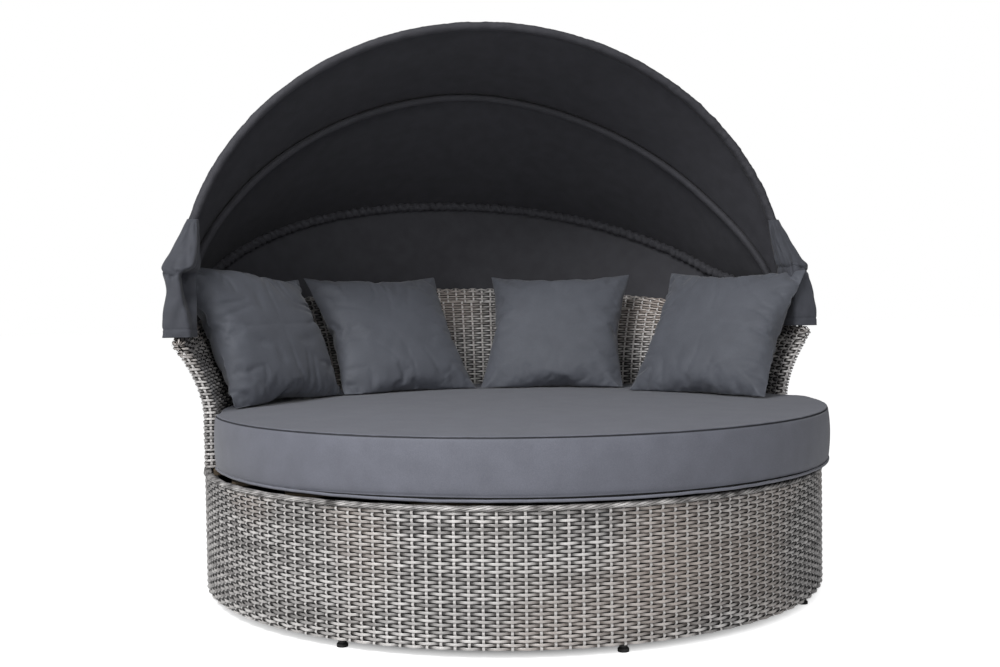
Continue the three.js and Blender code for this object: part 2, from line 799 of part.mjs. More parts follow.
// A boot's plan at one level: back along the outer side, round the front, and a little way in
function bootRow({ outer, inner, front, back, innerBack, round, z }) {
  const row = [];
  const sidePoints = 4;
  for (let k = 0; k < sidePoints; k++) {
    row.push(new THREE.Vector3(outer, THREE.MathUtils.lerp(back, front + round, k / sidePoints), z));
  }
  const roundPoints = 3;
  for (const [middle, first] of [[outer - round, 0], [inner + round, Math.PI / 2]]) {
    for (let k = 0; k < roundPoints; k++) {
      const turn = first + (k / (roundPoints - 1)) * Math.PI / 2;
      row.push(new THREE.Vector3(middle + round * Math.cos(turn), front + round * (1 - Math.sin(turn)), z));
    }
  }
  row.push(new THREE.Vector3(inner, innerBack, z));
  return row;
}

function buildBoots() {
  const cloth = finish(clothColour, 0.85, 0);
  const skin = clothThickness / 2;
  const armFront = wallMiddle * Math.sin(armEnd);
  const wide = {
    outer: boltEnd + bootClearance + skin,
    inner: boltHeadFace - pivotHeadHeight - bootClearance - skin,
    front: armFront + bootFrontInset,
    back: pivotY + bootBackReach,
    innerBack: armFront + bootFrontInset + bootInnerDepth,
    round: bootCornerRadius,
    z: armTop + bootHemGap,
  };
  const leg = bowPoint('front', bowAcross('front', bootReach), bootReach);
  const tight = bowTubeRadius + bootLegClearance + skin;
  const narrow = {
    outer: leg.x + tight + clothThickness + fitGap,
    inner: leg.x - tight,
    front: leg.y - tight,
    back: leg.y + bootTopDepth,
    innerBack: leg.y,
    round: bootTopCornerRadius,
    z: leg.z,
  };
  const rows = bootLevelShares.map((rise, level) => {
    const section = {};
    for (const key of Object.keys(wide)) {
      const share = key === 'z' ? rise : bootNarrowShares[level];
      section[key] = THREE.MathUtils.lerp(wide[key], narrow[key], share);
    }
    return bootRow(section);
  });
  const boot = sheet(rows, clothThickness);
  place('canopy_boot_right', boot, cloth);
  place('canopy_boot_left', mirrored(boot), cloth);
}

// The seat cushion: inside the arms at the back, out to the rim at the front
function cushionRadiusAt(angle) {
  const back = drumRadius - wallThickness - cushionBackGap;
  const front = cushionFrontRadius + cushionShift * Math.cos(angle - cushionShiftDegrees * degrees);
  const share = smooth((Math.sin(-angle) - Math.sin(armEnd)) / Math.sin(cushionEaseDegrees * degrees));
  return THREE.MathUtils.lerp(back, front, share);
}

// Heights of the cushion's rings, each with its share of the outline's radius
const cushionRise = cushionTop - cushionTopSeam;
const cushionDrop = cushionBottomSeam - slatTop - fitGap;
const cushionRings = [
  ...cushionUnderShares.radius.map((share, k) => {
    return { share, bulge: 0, z: slatTop + fitGap + cushionUnderShares.rise[k] * cushionDrop };
  }),
  { share: 1, bulge: 0, z: cushionBottomSeam },
  { share: 1, bulge: cushionSideBulge, z: (cushionBottomSeam + cushionTopSeam) / 2 },
  { share: 1, bulge: 0, z: cushionTopSeam },
  ...cushionCrownShares.radius.map((share, k) => {
    return { share, bulge: 0, z: cushionTopSeam + cushionCrownShares.rise[k] * cushionRise };
  }),
];

function buildSeatCushion() {
  const fabric = finish(cushionColour, 0.8, 0);
  const outline = cushionRings.map(({ share, bulge }) => {
    return Array.from({ length: cushionStations }, (_, k) => {
      const angle = (k / cushionStations) * 2 * Math.PI;
      const radius = cushionRadiusAt(angle) * share + (Math.sin(angle) < 0 ? bulge : 0);
      return new THREE.Vector2(radius * Math.cos(angle), radius * Math.sin(angle));
    });
  });
  const shape = loft(outline, (i, p) => new THREE.Vector3(p.x, p.y, cushionRings[i].z));
  place('seat_cushion', shape, fabric);
}

// Height of the seat cushion's top over a place on the floor
function seatHeightAt(x, y) {
  const share = Math.hypot(x, y) / cushionRadiusAt(Math.atan2(y, x));
  const top = cushionRings.filter((ring) => ring.z >= cushionTopSeam);
  const ends = top.findIndex((ring) => ring.share <= share);
  if (ends < 0) return cushionTop;
  if (ends === 0) return cushionTopSeam;
  const [low, high] = [top[ends - 1], top[ends]];
  return THREE.MathUtils.mapLinear(share, low.share, high.share, low.z, high.z);
}

// A scatter cushion lying flat: knife edge all round, sides drawn in between pointed corners
function pillowGeometry() {
  const half = pillowSize / 2;
  const points = [];
  for (const side of [1, -1]) {
    for (let i = 0; i <= pillowCells; i++) {
      for (let k = 0; k <= pillowCells; k++) {
        const u = (i / pillowCells) * 2 - 1;
        const v = (k / pillowCells) * 2 - 1;
        const x = u * (half - pillowSideDraw * (1 - v * v));
        const y = v * (half - pillowSideDraw * (1 - u * u));
        const swell = ((1 - u * u) * (1 - v * v)) ** pillowSwellPower;
        const rise = pillowEdge / 2 + (pillowThickness - pillowEdge) / 2 * swell;
        points.push(new THREE.Vector3(x, y, side * rise));
      }
    }
  }
  const row = pillowCells + 1;
  const other = row * row;
  const index = [];
  for (let i = 0; i < pillowCells; i++) {
    for (let k = 0; k < pillowCells; k++) {
      const a = i * row + k;
      const b = a + row;
      index.push(a, b, b + 1, a, b + 1, a + 1);
      index.push(other + a, other + b + 1, other + b, other + a, other + a + 1, other + b + 1);
    }
  }
  const rim = [];
  for (let k = 0; k < row; k++) rim.push(k);
  for (let i = 1; i < row; i++) rim.push(i * row + row - 1);
  for (let k = row - 2; k >= 0; k--) rim.push((row - 1) * row + k);
  for (let i = row - 2; i > 0; i--) rim.push(i * row);
  rim.forEach((a, n) => {
    const b = rim[(n + 1) % rim.length];
    index.push(a, b, other + b, a, other + b, other + a);
  });
  return meshFrom(points, index);
}

// Each scatter cushion leans back with its lowest point on the seat cushion
function buildPillows() {
  const fabric = finish(cushionColour, 0.8, 0);
  const shape = pillowGeometry();
  for (const [name, { around, inset, turn, lean }] of Object.entries(pillowSpecs)) {
    const radius = drumRadius - wallThickness - inset;
    const holder = new THREE.Group();
    holder.position.set(radius * Math.cos(around * degrees), radius * Math.sin(around * degrees), 0);
    holder.rotation.z = turn * degrees;
    group.add(holder);
    const mesh = place(name, shape, fabric, holder);
    mesh.rotation.x = quarterTurn - lean * degrees;
    holder.updateMatrixWorld(true);
    const corner = new THREE.Vector3();
    let lift = 0;
    for (let k = 0; k < shape.attributes.position.count; k++) {
      corner.fromBufferAttribute(shape.attributes.position, k).applyMatrix4(mesh.matrixWorld);
      lift = Math.max(lift, seatHeightAt(corner.x, corner.y) - corner.z);
    }
    holder.position.z = lift + fitGap;
  }
}

buildDrum();
buildBaseFrame();
buildFeet();
buildSlats();
buildBackrest();
buildBackBolts();
buildPivots();
buildBows();
buildPanels();
buildBoots();
buildSeatCushion();
buildPillows();

export default group;
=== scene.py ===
import math
import random
from bisect import bisect_right

import bmesh
import bpy
from bpy.props import FloatProperty, FloatVectorProperty, IntProperty, PointerProperty
from mathutils import Matrix, Vector, noise
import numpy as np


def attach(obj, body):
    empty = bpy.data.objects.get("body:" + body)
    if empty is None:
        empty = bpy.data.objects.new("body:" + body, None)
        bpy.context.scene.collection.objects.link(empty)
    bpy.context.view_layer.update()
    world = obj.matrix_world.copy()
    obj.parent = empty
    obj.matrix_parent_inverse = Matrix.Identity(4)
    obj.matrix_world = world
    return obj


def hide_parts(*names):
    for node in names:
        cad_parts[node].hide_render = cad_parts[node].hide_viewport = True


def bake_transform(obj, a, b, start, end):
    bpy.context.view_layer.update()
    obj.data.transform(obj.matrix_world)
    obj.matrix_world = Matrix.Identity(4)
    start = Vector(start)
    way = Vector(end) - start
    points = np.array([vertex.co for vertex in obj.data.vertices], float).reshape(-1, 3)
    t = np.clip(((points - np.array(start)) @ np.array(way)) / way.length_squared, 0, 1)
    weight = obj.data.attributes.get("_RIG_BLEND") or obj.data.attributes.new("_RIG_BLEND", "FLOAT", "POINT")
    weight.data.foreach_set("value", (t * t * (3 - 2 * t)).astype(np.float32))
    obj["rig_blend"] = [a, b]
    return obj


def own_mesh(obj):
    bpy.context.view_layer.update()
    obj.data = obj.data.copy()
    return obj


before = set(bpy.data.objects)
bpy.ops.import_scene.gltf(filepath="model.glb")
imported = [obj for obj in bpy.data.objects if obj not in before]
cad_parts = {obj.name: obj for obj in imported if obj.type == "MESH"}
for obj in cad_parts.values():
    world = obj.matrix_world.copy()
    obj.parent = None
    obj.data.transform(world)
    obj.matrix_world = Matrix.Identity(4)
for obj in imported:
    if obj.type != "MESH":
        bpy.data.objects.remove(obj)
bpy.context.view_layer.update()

bl_info = {
    "name": "Outdoor Daybed Finisher",
    "version": (1, 0, 0),
    "blender": (4, 5, 0),
    "location": "View3D > Sidebar > Daybed",
    "description": "Weaves, covers and finishes a round outdoor daybed with a folding canopy",
    "category": "Object",
}

MM = 0.001
DEGREES = math.pi / 180

# Sizes that the frame was drawn to
DRUM_RADIUS = 900 * MM
DRUM_BOTTOM = 20 * MM
WEAVE_TOP = 340 * MM
RIM_TOP = 354 * MM
UPSTAND_TOP = 398 * MM
COVER_BOTTOM = 402 * MM
HALF_WALL = 19 * MM
WALL_MIDDLE = 881 * MM
ARM_TOP = 720 * MM
BACK_TOP = 862 * MM
FLARE = 83 * MM
FLARE_START = 500 * MM
FLARE_POWER = 1.8
PIVOT = Vector((0, 130 * MM, 755 * MM))
EYE_OUT = 34 * MM
LAP = 12.1 * MM
HEM_RADIUS = 989 * MM
HEM_DROP = 80 * MM
SLAT_TOP = 352.6 * MM
# How far the photograph was taken from straight ahead
VIEW_SWING = 13.4 * DEGREES

# Each canopy bow: its tilt in degrees, how far out it reaches, half its width, the power of its arch, its straight
# legs, how far it cranks back and where its eyes lie
BOWS = {
    "front": {"tilt": 87.1, "reach": 919 * MM, "half": 957 * MM, "square": 2.0, "straight": 80 * MM,
              "crank": 0, "eye": 967 * MM},
    "middle": {"tilt": 62.7, "reach": 880 * MM, "half": 934 * MM, "square": 1.82, "straight": 90 * MM,
               "crank": 44 * MM, "eye": 933 * MM},
    "rear": {"tilt": 28.4, "reach": 1020 * MM, "half": 955 * MM, "square": 2.08, "straight": 60 * MM,
             "crank": 70 * MM, "eye": 989 * MM},
}

# Each scatter cushion: its bearing, its distance in from the backrest, its turn, its lean, how far its cloth is
# pushed along itself, how far it is skewed, how creased it is and how far its free upper corner droops. Angles are
# in degrees and lengths in millimetres
PILLOWS = {
    "pillow_left_end": (155.2, 86, 44, 22, -8, -0.1, 1.5, 52),
    "pillow_left": (113.9, 199, 17, 33, -8, -0.07, 0.9, 0),
    "pillow_right": (63, 200, -18, 33, 2, 0.05, 0.6, 0),
    "pillow_right_end": (11.0, 152, -52, 33, 14, 0.03, 1.2, 0),
}


def linear(code):
    """An sRGB hex value as a linear colour."""
    parts = [int(code[k:k + 2], 16) / 255 for k in (1, 3, 5)]
    return tuple(p / 12.92 if p <= 0.04045 else ((p + 0.055) / 1.055) ** 2.4 for p in parts)


def colour(name, description, code):
    return FloatVectorProperty(
        name=name, description=description, subtype="COLOR", size=3, min=0, max=1, default=linear(code))


def length(name, description, millimetres):
    return FloatProperty(
        name=name, description=description, unit="LENGTH", subtype="DISTANCE", min=0, default=millimetres * MM)


def power(name, description, watts):
    return FloatProperty(name=name, description=description, unit="POWER", min=0, default=watts)


class WeaveSizes(bpy.types.PropertyGroup):
    """Sizes and colours of the woven strip"""
    row_pitch: length("Row pitch", "Height of one woven row", 8.9)
    strip_width: length("Strip width", "Width of the flat strip", 6.1)
    stake_pitch: length("Stake pitch", "Distance between upright stakes", 33.3)
    stake_width: length("Stake width", "Width of an upright stake", 6.5)
    wave: length("Wave", "How far a strip swings out over a stake", 3.5)
    pale: colour("Pale strip", "The paler strips", "#d2cfcd")
    # The dark strip colour is also the colour that the painted shade in a strip's dips mixes toward
    dark: colour("Dark strip", "The darker strips", "#4b4847")
    warm: colour("Warm strip", "The browner strips", "#ab9f97")


class SeatSizes(bpy.types.PropertyGroup):
    """Sizes and colours of the seat cushion"""
    piping: length("Piping", "Radius of the piping on the lower seam", 3.6)
    groove: length("Groove", "Depth of the upper seam", 3.0)
    cloth: colour("Cloth", "The seat cushion's cloth", "#696b75")
    thread: colour("Seam", "Seam thread and the shadow in it", "#2c2d33")


class PillowSizes(bpy.types.PropertyGroup):
    """Sizes and colours of the scatter cushions"""
    side: length("Side", "Corner to corner along one side", 488)
    thickness: length("Thickness", "Greatest thickness when filled", 150)
    height: FloatProperty(name="Height", description="Share of its height that stands", min=0, default=0.97)
    sink: length("Sink", "How far the fill gives under its own weight", 22)
    cells: IntProperty(name="Cells", description="Cloth cells along one side", min=12, max=90, default=62)
    pressure: FloatProperty(name="Pressure", description="How hard the fill pushes out", min=0, default=0.8)
    gather: FloatProperty(name="Gather", description="How far the seam draws in", min=0, max=1, default=0.03)
    frames: IntProperty(name="Frames", description="Steps of the cloth simulation", min=5, max=120, default=25)
    cloth: colour("Cloth", "The scatter cushions' cloth", "#585b63")


class CanopySizes(bpy.types.PropertyGroup):
    """Sizes and colours of the canopy"""
    cloth: length("Cloth", "Thickness of the cloth as drawn", 1.6)
    sleeve: length("Sleeve", "Radius of the sleeves round the bows", 13.5)
    band: length("Band", "Width of the stitched band behind the front bow", 46)
    outside: colour("Outside", "The cloth's outer face", "#45474e")
    # The lining colour is the canvas drawn darker: painted shade under the canopy
    shaded_lining: colour("Lining", "The cloth's inner face", "#3e3e43")


class FrameSizes(bpy.types.PropertyGroup):
    """Colours of the frame and the fittings"""
    coat: colour("Powder coat", "The welded frame, plates and bows", "#3a3b3d")
    steel: colour("Stainless steel", "Bolts and nuts", "#a9abad")
    nylon: colour("Nylon", "Bushes and feet", "#1c1c1d")
    # The pine is drawn dark and grey: painted shade for the slats seen under the seat cushion
    pine: colour("Pine", "Seat slats", "#6b5d4c")


class StageSizes(bpy.types.PropertyGroup):
    """The camera, lights and floor"""
    lens: FloatProperty(name="Lens", description="Focal length on a 36 mm wide sensor", min=1, default=44.22)
    key: power("Key light", "Power of the key light", 182)
    front: power("Front light", "Power of the front light", 50)
    low: power("Low light", "Power of the low light", 44)
    sky: FloatProperty(name="Sky", description="Strength of the even light", min=0, default=0.165)
    floor: colour("Floor", "The floor", "#ececec")


def sizes(name):
    return getattr(bpy.context.scene, "daybed_" + name)


def smooth(t):
    t = min(max(t, 0.0), 1.0)
    return t * t * (3 - 2 * t)


def ripple(x, y, z):
    return noise.noise(Vector((x, y, z)))


def running(points):
    """How far along a line each of its points lies."""
    marks = [0.0]
    for a, b in zip(points, points[1:]):
        marks.append(marks[-1] + (b - a).length)
    return marks


def step_at(marks, t):
    """The step between rising marks that holds t, and the share of the step at which t lies."""
    k = min(max(bisect_right(marks, t) - 1, 0), len(marks) - 2)
    return k, (t - marks[k]) / (marks[k + 1] - marks[k])


def add(tree, kind, inputs=None, **settings):
    """Adds a node with its settings, and fills its inputs with values or links."""
    node = tree.nodes.new(kind)
    for key, value in settings.items():
        setattr(node, key, value)
    for key, value in (inputs or {}).items():
        if isinstance(value, bpy.types.NodeSocket):
            tree.links.new(value, node.inputs[key])
        elif hasattr(value, "__len__") and len(value) == 3 and len(node.inputs[key].default_value) == 4:
            node.inputs[key].default_value = (*value, 1)
        else:
            node.inputs[key].default_value = value
    return node


def material(name):
    """An empty node material with its surface shader, and its tree."""
    made = bpy.data.materials.new(name)
    made.use_nodes = True
    tree = made.node_tree
    return made, tree, tree.nodes["Principled BSDF"]


def finish_mesh(name, bm, materials, body, replaced=()):
    """Turns a bmesh into a smooth-shaded piece that rides on a body."""
    mesh = bpy.data.meshes.new(name)
    bm.to_mesh(mesh)
    bm.free()
    for face in mesh.polygons:
        face.use_smooth = True
    for entry in materials:
        mesh.materials.append(entry)
    piece = bpy.data.objects.new(name, mesh)
    bpy.context.scene.collection.objects.link(piece)
    if body:
        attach(piece, body)
    if replaced:
        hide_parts(*replaced)
    return piece


def grid(bm, columns, rows, place, slot=0):
    """A grid of columns by rows, each corner put where place(column, row) says. Returns its corners in order,
    so nothing may be deleted from the bmesh before it."""
    before = len(bm.verts)
    bmesh.ops.create_grid(bm, x_segments=columns, y_segments=rows, size=1)
    bm.verts.ensure_lookup_table()
    made = bm.verts[before:]
    for vert, column, row in numbered(made, columns):
        vert.co = place(column, row)
    if slot:
        for face in faces_of(made):
            face.material_index = slot
    return made


def numbered(made, columns):
    """Each corner of a grid with its column and its row."""
    return [(vert, k % (columns + 1), k // (columns + 1)) for k, vert in enumerate(made)]


def faces_of(made):
    return {face for vert in made for face in vert.link_faces}


def gaps_between(made, columns, skip):
    """The faces of a grid that skip(column, row) leaves out."""
    place = {vert: (row, column) for vert, column, row in numbered(made, columns)}
    gone = []
    for face in faces_of(made):
        row, column = min(place[vert] for vert in face.verts)
        if skip(column, row):
            gone.append(face)
    return gone


def merge(bm, distance):
    bmesh.ops.remove_doubles(bm, verts=bm.verts, dist=distance)


# ---------------------------------------------------------------- materials

def own_place(tree):
    return add(tree, "ShaderNodeTexCoord").outputs["Object"]


def fine_threads(tree, pitch):
    """Height of crossing threads at a real pitch, from the object's own coordinates."""
    split = add(tree, "ShaderNodeSeparateXYZ", {0: own_place(tree)})
    height = None
    for axis in "XYZ":
        turns = add(tree, "ShaderNodeMath", {0: split.outputs[axis], 1: 2 * math.pi / pitch},
                    operation="MULTIPLY")
        wave = add(tree, "ShaderNodeMath", {0: turns.outputs[0]}, operation="SINE").outputs[0]
        if height is not None:
            wave = add(tree, "ShaderNodeMath", {0: wave, 1: height}, operation="ADD").outputs[0]
        height = wave
    return height


def cloud_of(tree, scale, detail, stretch=None):
    """Noise of a real scale, and a way to spread its middle over a range."""
    place = own_place(tree)
    if stretch:
        place = add(tree, "ShaderNodeMapping", {"Vector": place, "Scale": stretch}).outputs[0]
    cloud = add(tree, "ShaderNodeTexNoise", {"Vector": place, "Scale": 1 / scale, "Detail": detail}).outputs["Fac"]

    def spread(low=0.0, high=1.0):
        return add(tree, "ShaderNodeMapRange", {
            "Value": cloud, "From Min": 0.3, "From Max": 0.7, "To Min": low, "To Max": high}).outputs[0]

    return cloud, spread


def mixed(tree, factor, low, high):
    """A colour between two others, each a value or a link."""
    ends = [end if isinstance(end, bpy.types.NodeSocket) else (*end, 1) for end in (low, high)]
    return add(tree, "ShaderNodeMix", {"Factor": factor, 6: ends[0], 7: ends[1]}, data_type="RGBA").outputs[2]


def mottled(tree, scale, low, high, detail=3.0, stretch=None):
    """A mix of two colours by noise of a real scale."""
    cloud, spread = cloud_of(tree, scale, detail, stretch)
    return mixed(tree, spread(), low, high), cloud


def shade(rgb, factor):
    return tuple(min(c * factor, 1) for c in rgb)


def surfaced(tree, surface, base, height=None, strength=0.0, depth=0.0, **levels):
    """Gives a surface shader its colour, a bump of a real depth in mm, and its other levels by name."""
    tree.links.new(base, surface.inputs["Base Color"])
    if height is not None:
        bump = add(tree, "ShaderNodeBump", {"Height": height, "Strength": strength, "Distance": depth * MM})
        tree.links.new(bump.outputs[0], surface.inputs["Normal"])
    for name, level in levels.items():
        surface.inputs[name.replace("_", " ")].default_value = level


def plain(name, scale, low, high, detail=3.0, stretch=None, strength=None, depth=0.0, **levels):
    """A material of one mottled colour, with a bump of the same mottling, its scale and depth in mm."""
    made, tree, surface = material(name)
    base, cloud = mottled(tree, scale * MM, low, high, detail, stretch)
    surfaced(tree, surface, base, cloud if strength else None, strength, depth, **levels)
    return made


def woven_strip():
    # Extruded polyethylene strip, woven flat: a soft gloss, each length a little paler or browner than the next
    look = sizes("weave")
    made, tree, surface = material("polyethylene strip, extruded and woven")
    # Each length's own tone, multiplied by painted shade where the strip dips behind a stake, comes in one
    # attribute
    tone, hue = (add(tree, "ShaderNodeAttribute", attribute_name=name).outputs["Fac"] for name in ("tone", "hue"))
    base = mixed(tree, hue, mixed(tree, tone, look.dark, look.pale), look.warm)
    grain, spread = cloud_of(tree, 3 * MM, 2.0)
    tree.links.new(spread(0.2, 0.36), surface.inputs["Roughness"])
    surfaced(tree, surface, base, grain, strength=0.12, depth=0.4, IOR=1.54)
    return made


def weave_shadow():
    # A dark sheet behind the weave: painted shade for the dark between the strips
    return plain("polyethylene strip, shadowed back", 9, linear("#121111"), linear("#1e1c1b"), Roughness=0.8)


def cloth_look(name, rgb, patch, change, thread, fleck=None, **levels):
    """Plain woven cloth, with patches a little paler and darker than the next and the bump of its threads."""
    made, tree, surface = material(name)
    base, _ = mottled(tree, patch * MM, shade(rgb, 1 - change), shade(rgb, 1 + change))
    if fleck:
        _, spread = cloud_of(tree, fleck * MM, 2.0)
        base = add(tree, "ShaderNodeVectorMath", {0: base, "Scale": spread(0.9, 1.1)}, operation="SCALE").outputs[0]
    surfaced(tree, surface, base, fine_threads(tree, thread * MM), strength=0.1, depth=0.25, **levels)
    return made


def cover_cloth(name, rgb, thread, sheen):
    # Solution-dyed polyester, plain woven with a faint satin face. The real threads are about 0.5 mm and are drawn
    # coarser, so that they show
    return cloth_look(name, rgb, 60, 0.07, thread, fleck=2.2, Roughness=0.66, Sheen_Weight=sheen,
                      Sheen_Roughness=0.45, Specular_IOR_Level=0.35)


def canopy_face(name, rgb, sheen):
    # Polyester canvas, plain woven and coated. Its 0.6 mm threads are drawn at 1.8 mm, so that they show
    return cloth_look(name, rgb, 45, 0.1, 1.8, Roughness=0.72, Sheen_Weight=sheen, Sheen_Roughness=0.5,
                      Specular_IOR_Level=0.3)


def seam_thread_and_shade():
    # Bonded polyester thread sunk in a seam, matt; its dark colour is the thread's and painted shade in the groove
    rgb = sizes("seat").thread
    return plain("polyester thread, sewn", 3, shade(rgb, 0.8), shade(rgb, 1.25), Roughness=0.85)


def felt():
    # Spun polypropylene felt under the seat, matt, with a pressed dimple of 3 mm; its near-black is also painted
    # shade for the gap under the cushion
    return plain("polypropylene felt, spun and pressed", 3, linear("#0d0d0e"), linear("#18181a"),
                 strength=0.3, depth=0.3, Roughness=0.95)


def powder_coat():
    # Polyester powder coat on tube: half matt, with a faint orange peel of about 1.5 mm
    rgb = sizes("frame").coat
    return plain("polyester powder coat, baked on tube", 1.5, shade(rgb, 0.9), shade(rgb, 1.12),
                 strength=0.15, depth=0.2, Roughness=0.48)


def stainless():
    # Stainless steel bar, turned: fine rings of 0.4 mm and a soft reflection
    rgb = sizes("frame").steel
    return plain("stainless steel, turned", 0.4, shade(rgb, 0.9), shade(rgb, 1.08), stretch=(6, 1, 1),
                 strength=0.08, depth=0.1, Metallic=1, Roughness=0.3)


def nylon():
    # Black nylon, injection moulded: a fine matt spark grain of 0.8 mm
    rgb = sizes("frame").nylon
    return plain("nylon, injection moulded", 0.8, shade(rgb, 0.85), shade(rgb, 1.2),
                 strength=0.1, depth=0.1, Roughness=0.55)


def pine():
    # Sawn pine, drawn dark and grey as painted shade for the slats seen in the gap under the cushion: grain lines
    # about 4 mm apart along each slat
    rgb = sizes("frame").pine
    return plain("pine, sawn", 4, shade(rgb, 0.72), rgb, detail=4.0, stretch=(0.03, 1, 1),
                 strength=0.2, depth=0.4, Roughness=0.75)


# ---------------------------------------------------------------- woven pieces

# A strip's section, from its lower edge over its face to its rounded upper edge: shares of its width up, mm out
STRIP_SECTION = [(-0.5, 0.1), (0.22, 1.0), (0.5, -1.5)]
STRIP_LINES = len(STRIP_SECTION)
STRIP_STEPS = 4
STRIP_WANDER = 0.5 * MM
# One length of strip passes this many stakes
LOT_STAKES = 9
STAKE_SINK = 0.2 * MM
BACK_SINK = 0.9 * MM
# Points of woven pieces closer than this are one
WEAVE_MERGE = 1e-5


def weave(bm, stakes, rows, low, pitch, place, closed, seed, keep=None, lift=0.0):
    """Flat strips woven over and under upright stakes on a surface. place(stake, height, offset) gives a point,
    with the stake counted along the surface. keep(stake, height) says where the strips lie."""
    look = sizes("weave")
    tone, hue = (bm.verts.layers.float[name] for name in ("tone", "hue"))
    rng = random.Random(seed)
    lots = [[rng.random() for _ in range(stakes // LOT_STAKES + 2)] for _ in range(rows)]
    wander = [[rng.uniform(-1, 1) for _ in range(stakes + 2)] for _ in range(rows)]
    lost = []

    def shed(vert, s, height):
        if keep and not keep(s, height):
            lost.append(vert)

    def strip(column, line):
        row, edge = divmod(line, STRIP_LINES)
        s = column / STRIP_STEPS
        turn = (s % stakes) if closed else s
        up, out = STRIP_SECTION[edge]
        here = wander[row][int(turn)]
        swing = look.wave * math.cos(math.pi * (s + row))
        height = low + (row + 0.5) * pitch + up * look.strip_width
        height += STRIP_WANDER * here * math.sin(math.pi * (turn % 1))
        return place(s, height, lift + swing + out * MM * (1 + 0.25 * here))

    columns = stakes * STRIP_STEPS
    made = grid(bm, columns, rows * STRIP_LINES - 1, strip)
    waste = gaps_between(made, columns, lambda column, line: line % STRIP_LINES == STRIP_LINES - 1)
    for vert, column, line in numbered(made, columns):
        s, row = column / STRIP_STEPS, line // STRIP_LINES
        # Painted shade: a strip is darker where it dips behind a stake, where shade falls. The lot tone is the
        # strip's own
        dip = 0.5 + 0.5 * math.cos(math.pi * (s + row))
        lot = lots[row][int((s + row * 2.7) % stakes) // LOT_STAKES]
        vert[tone] = (0.3 + 0.7 * lot) * smooth(0.04 + 1.2 * dip)
        vert[hue] = max(0.0, noise.noise(vert.co * 3.1) * 1.4)
        shed(vert, s, low + (row + 0.5) * pitch)

    def stake(column, line):
        number, edge = divmod(column, 2)
        swing = -look.wave * math.cos(math.pi * (number + line / 2 - 0.5)) - STAKE_SINK
        across = number + (edge - 0.5) * look.stake_width / look.stake_pitch
        return place(across, low + line * pitch / 2, lift + swing)

    columns = stakes * 2 - 1
    made = grid(bm, columns, rows * 2, stake)
    waste += gaps_between(made, columns, lambda column, line: column % 2 == 1)
    for vert, column, line in numbered(made, columns):
        vert[tone] = 1.0
        shed(vert, column // 2, low + line * pitch / 2)

    # A dark sheet that closes the wall behind the strips: painted shade
    depth = lift - look.wave - BACK_SINK
    levels = max(rows // 4, 1)
    rise = rows * pitch / levels
    made = grid(bm, stakes, levels, lambda column, line: place(column, low + rise * line, depth), slot=1)
    for vert, column, line in numbered(made, stakes):
        shed(vert, column, low + rise * (line - 1))
    bmesh.ops.delete(bm, geom=waste, context="FACES_ONLY")
    bmesh.ops.delete(bm, geom=lost, context="VERTS")
    merge(bm, WEAVE_MERGE)


def woven_mesh():
    bm = bmesh.new()
    bm.verts.layers.float.new("tone")
    bm.verts.layers.float.new("hue")
    return bm


def on_arc(angle, radius, z):
    return Vector((radius * math.cos(angle), radius * math.sin(angle), z))


# How far the strips stand out, the backrest's corners in plan, and where the strips end below its rounded top
STRIP_ROOM = 2 * MM
WALL_CORNER = 5 * MM
KEEP_BELOW = {"end": 12 * MM, "face": 22 * MM}


def wall_top(angle):
    return ARM_TOP + (BACK_TOP - ARM_TOP) * max(math.sin(angle), 0)


def wall_radius(angle, z):
    """Radius of the wall's middle line, which leans outward above the flare's start."""
    shoulder = wall_top(angle) - HALF_WALL
    share = max(z - FLARE_START, 0) / (shoulder - FLARE_START)
    return WALL_MIDDLE + FLARE * min(share, 1) ** FLARE_POWER


class WallLoop:
    """The way round the backrest: along its outer face, round an arm's end, back inside and round the other."""

    def __init__(self, stakes):
        self.stakes = stakes
        run = math.pi * WALL_MIDDLE
        half = HALF_WALL - STRIP_ROOM
        # Each corner is a quarter circle of points, each with its place and the outward way
        self.path = []
        for along, off, start in [(run, half, 0), (run, -half, 90), (0, -half, 180), (0, half, 270)]:
            middle = (abs(along - WALL_CORNER), off - math.copysign(WALL_CORNER, off))
            for k in range(5):
                turn = (start + 22.5 * k) * DEGREES
                way = (math.sin(turn), math.cos(turn))
                self.path.append((middle[0] + WALL_CORNER * way[0], middle[1] + WALL_CORNER * way[1], *way))
        self.marks = [0.0]
        for a, b in zip(self.path, self.path[1:] + self.path[:1]):
            self.marks.append(self.marks[-1] + math.hypot(b[0] - a[0], b[1] - a[1]))
        # Stakes are counted from the middle of an arm's end
        self.start = (self.marks[4] + self.marks[5]) / 2

    def at(self, s):
        """Along, off and the two parts of the outward way, for a stake count."""
        whole = self.marks[-1]
        k, share = step_at(self.marks, (s / self.stakes * whole + self.start) % whole)
        return [a + (b - a) * share for a, b in zip(self.path[k], self.path[(k + 1) % len(self.path)])]

    def place(self, s, z, offset):
        along, off, way_along, way_off = self.at(s)
        along += offset * way_along
        angle = min(max(along / WALL_MIDDLE, 0), math.pi)
        beyond = along - angle * WALL_MIDDLE
        point = on_arc(angle, wall_radius(angle, z) + off + offset * way_off, z)
        return point + Vector((-math.sin(angle), math.cos(angle), 0)) * beyond

    def keep(self, s, z):
        along, _, way_along, _ = self.at(s)
        angle = min(max(along / WALL_MIDDLE, 0), math.pi)
        return z < wall_top(angle) - HALF_WALL - KEEP_BELOW["end" if abs(way_along) > 0.9 else "face"]


def weave_materials():
    return [woven_strip(), weave_shadow()]


def round_stakes(length_round):
    """An even number of stakes round a closed wall."""
    return 2 * round(length_round / sizes("weave").stake_pitch / 2)


def rows_between(low, high):
    """A whole number of woven rows between two heights, and their pitch."""
    rows = round((high - low) / sizes("weave").row_pitch)
    return rows, (high - low) / rows


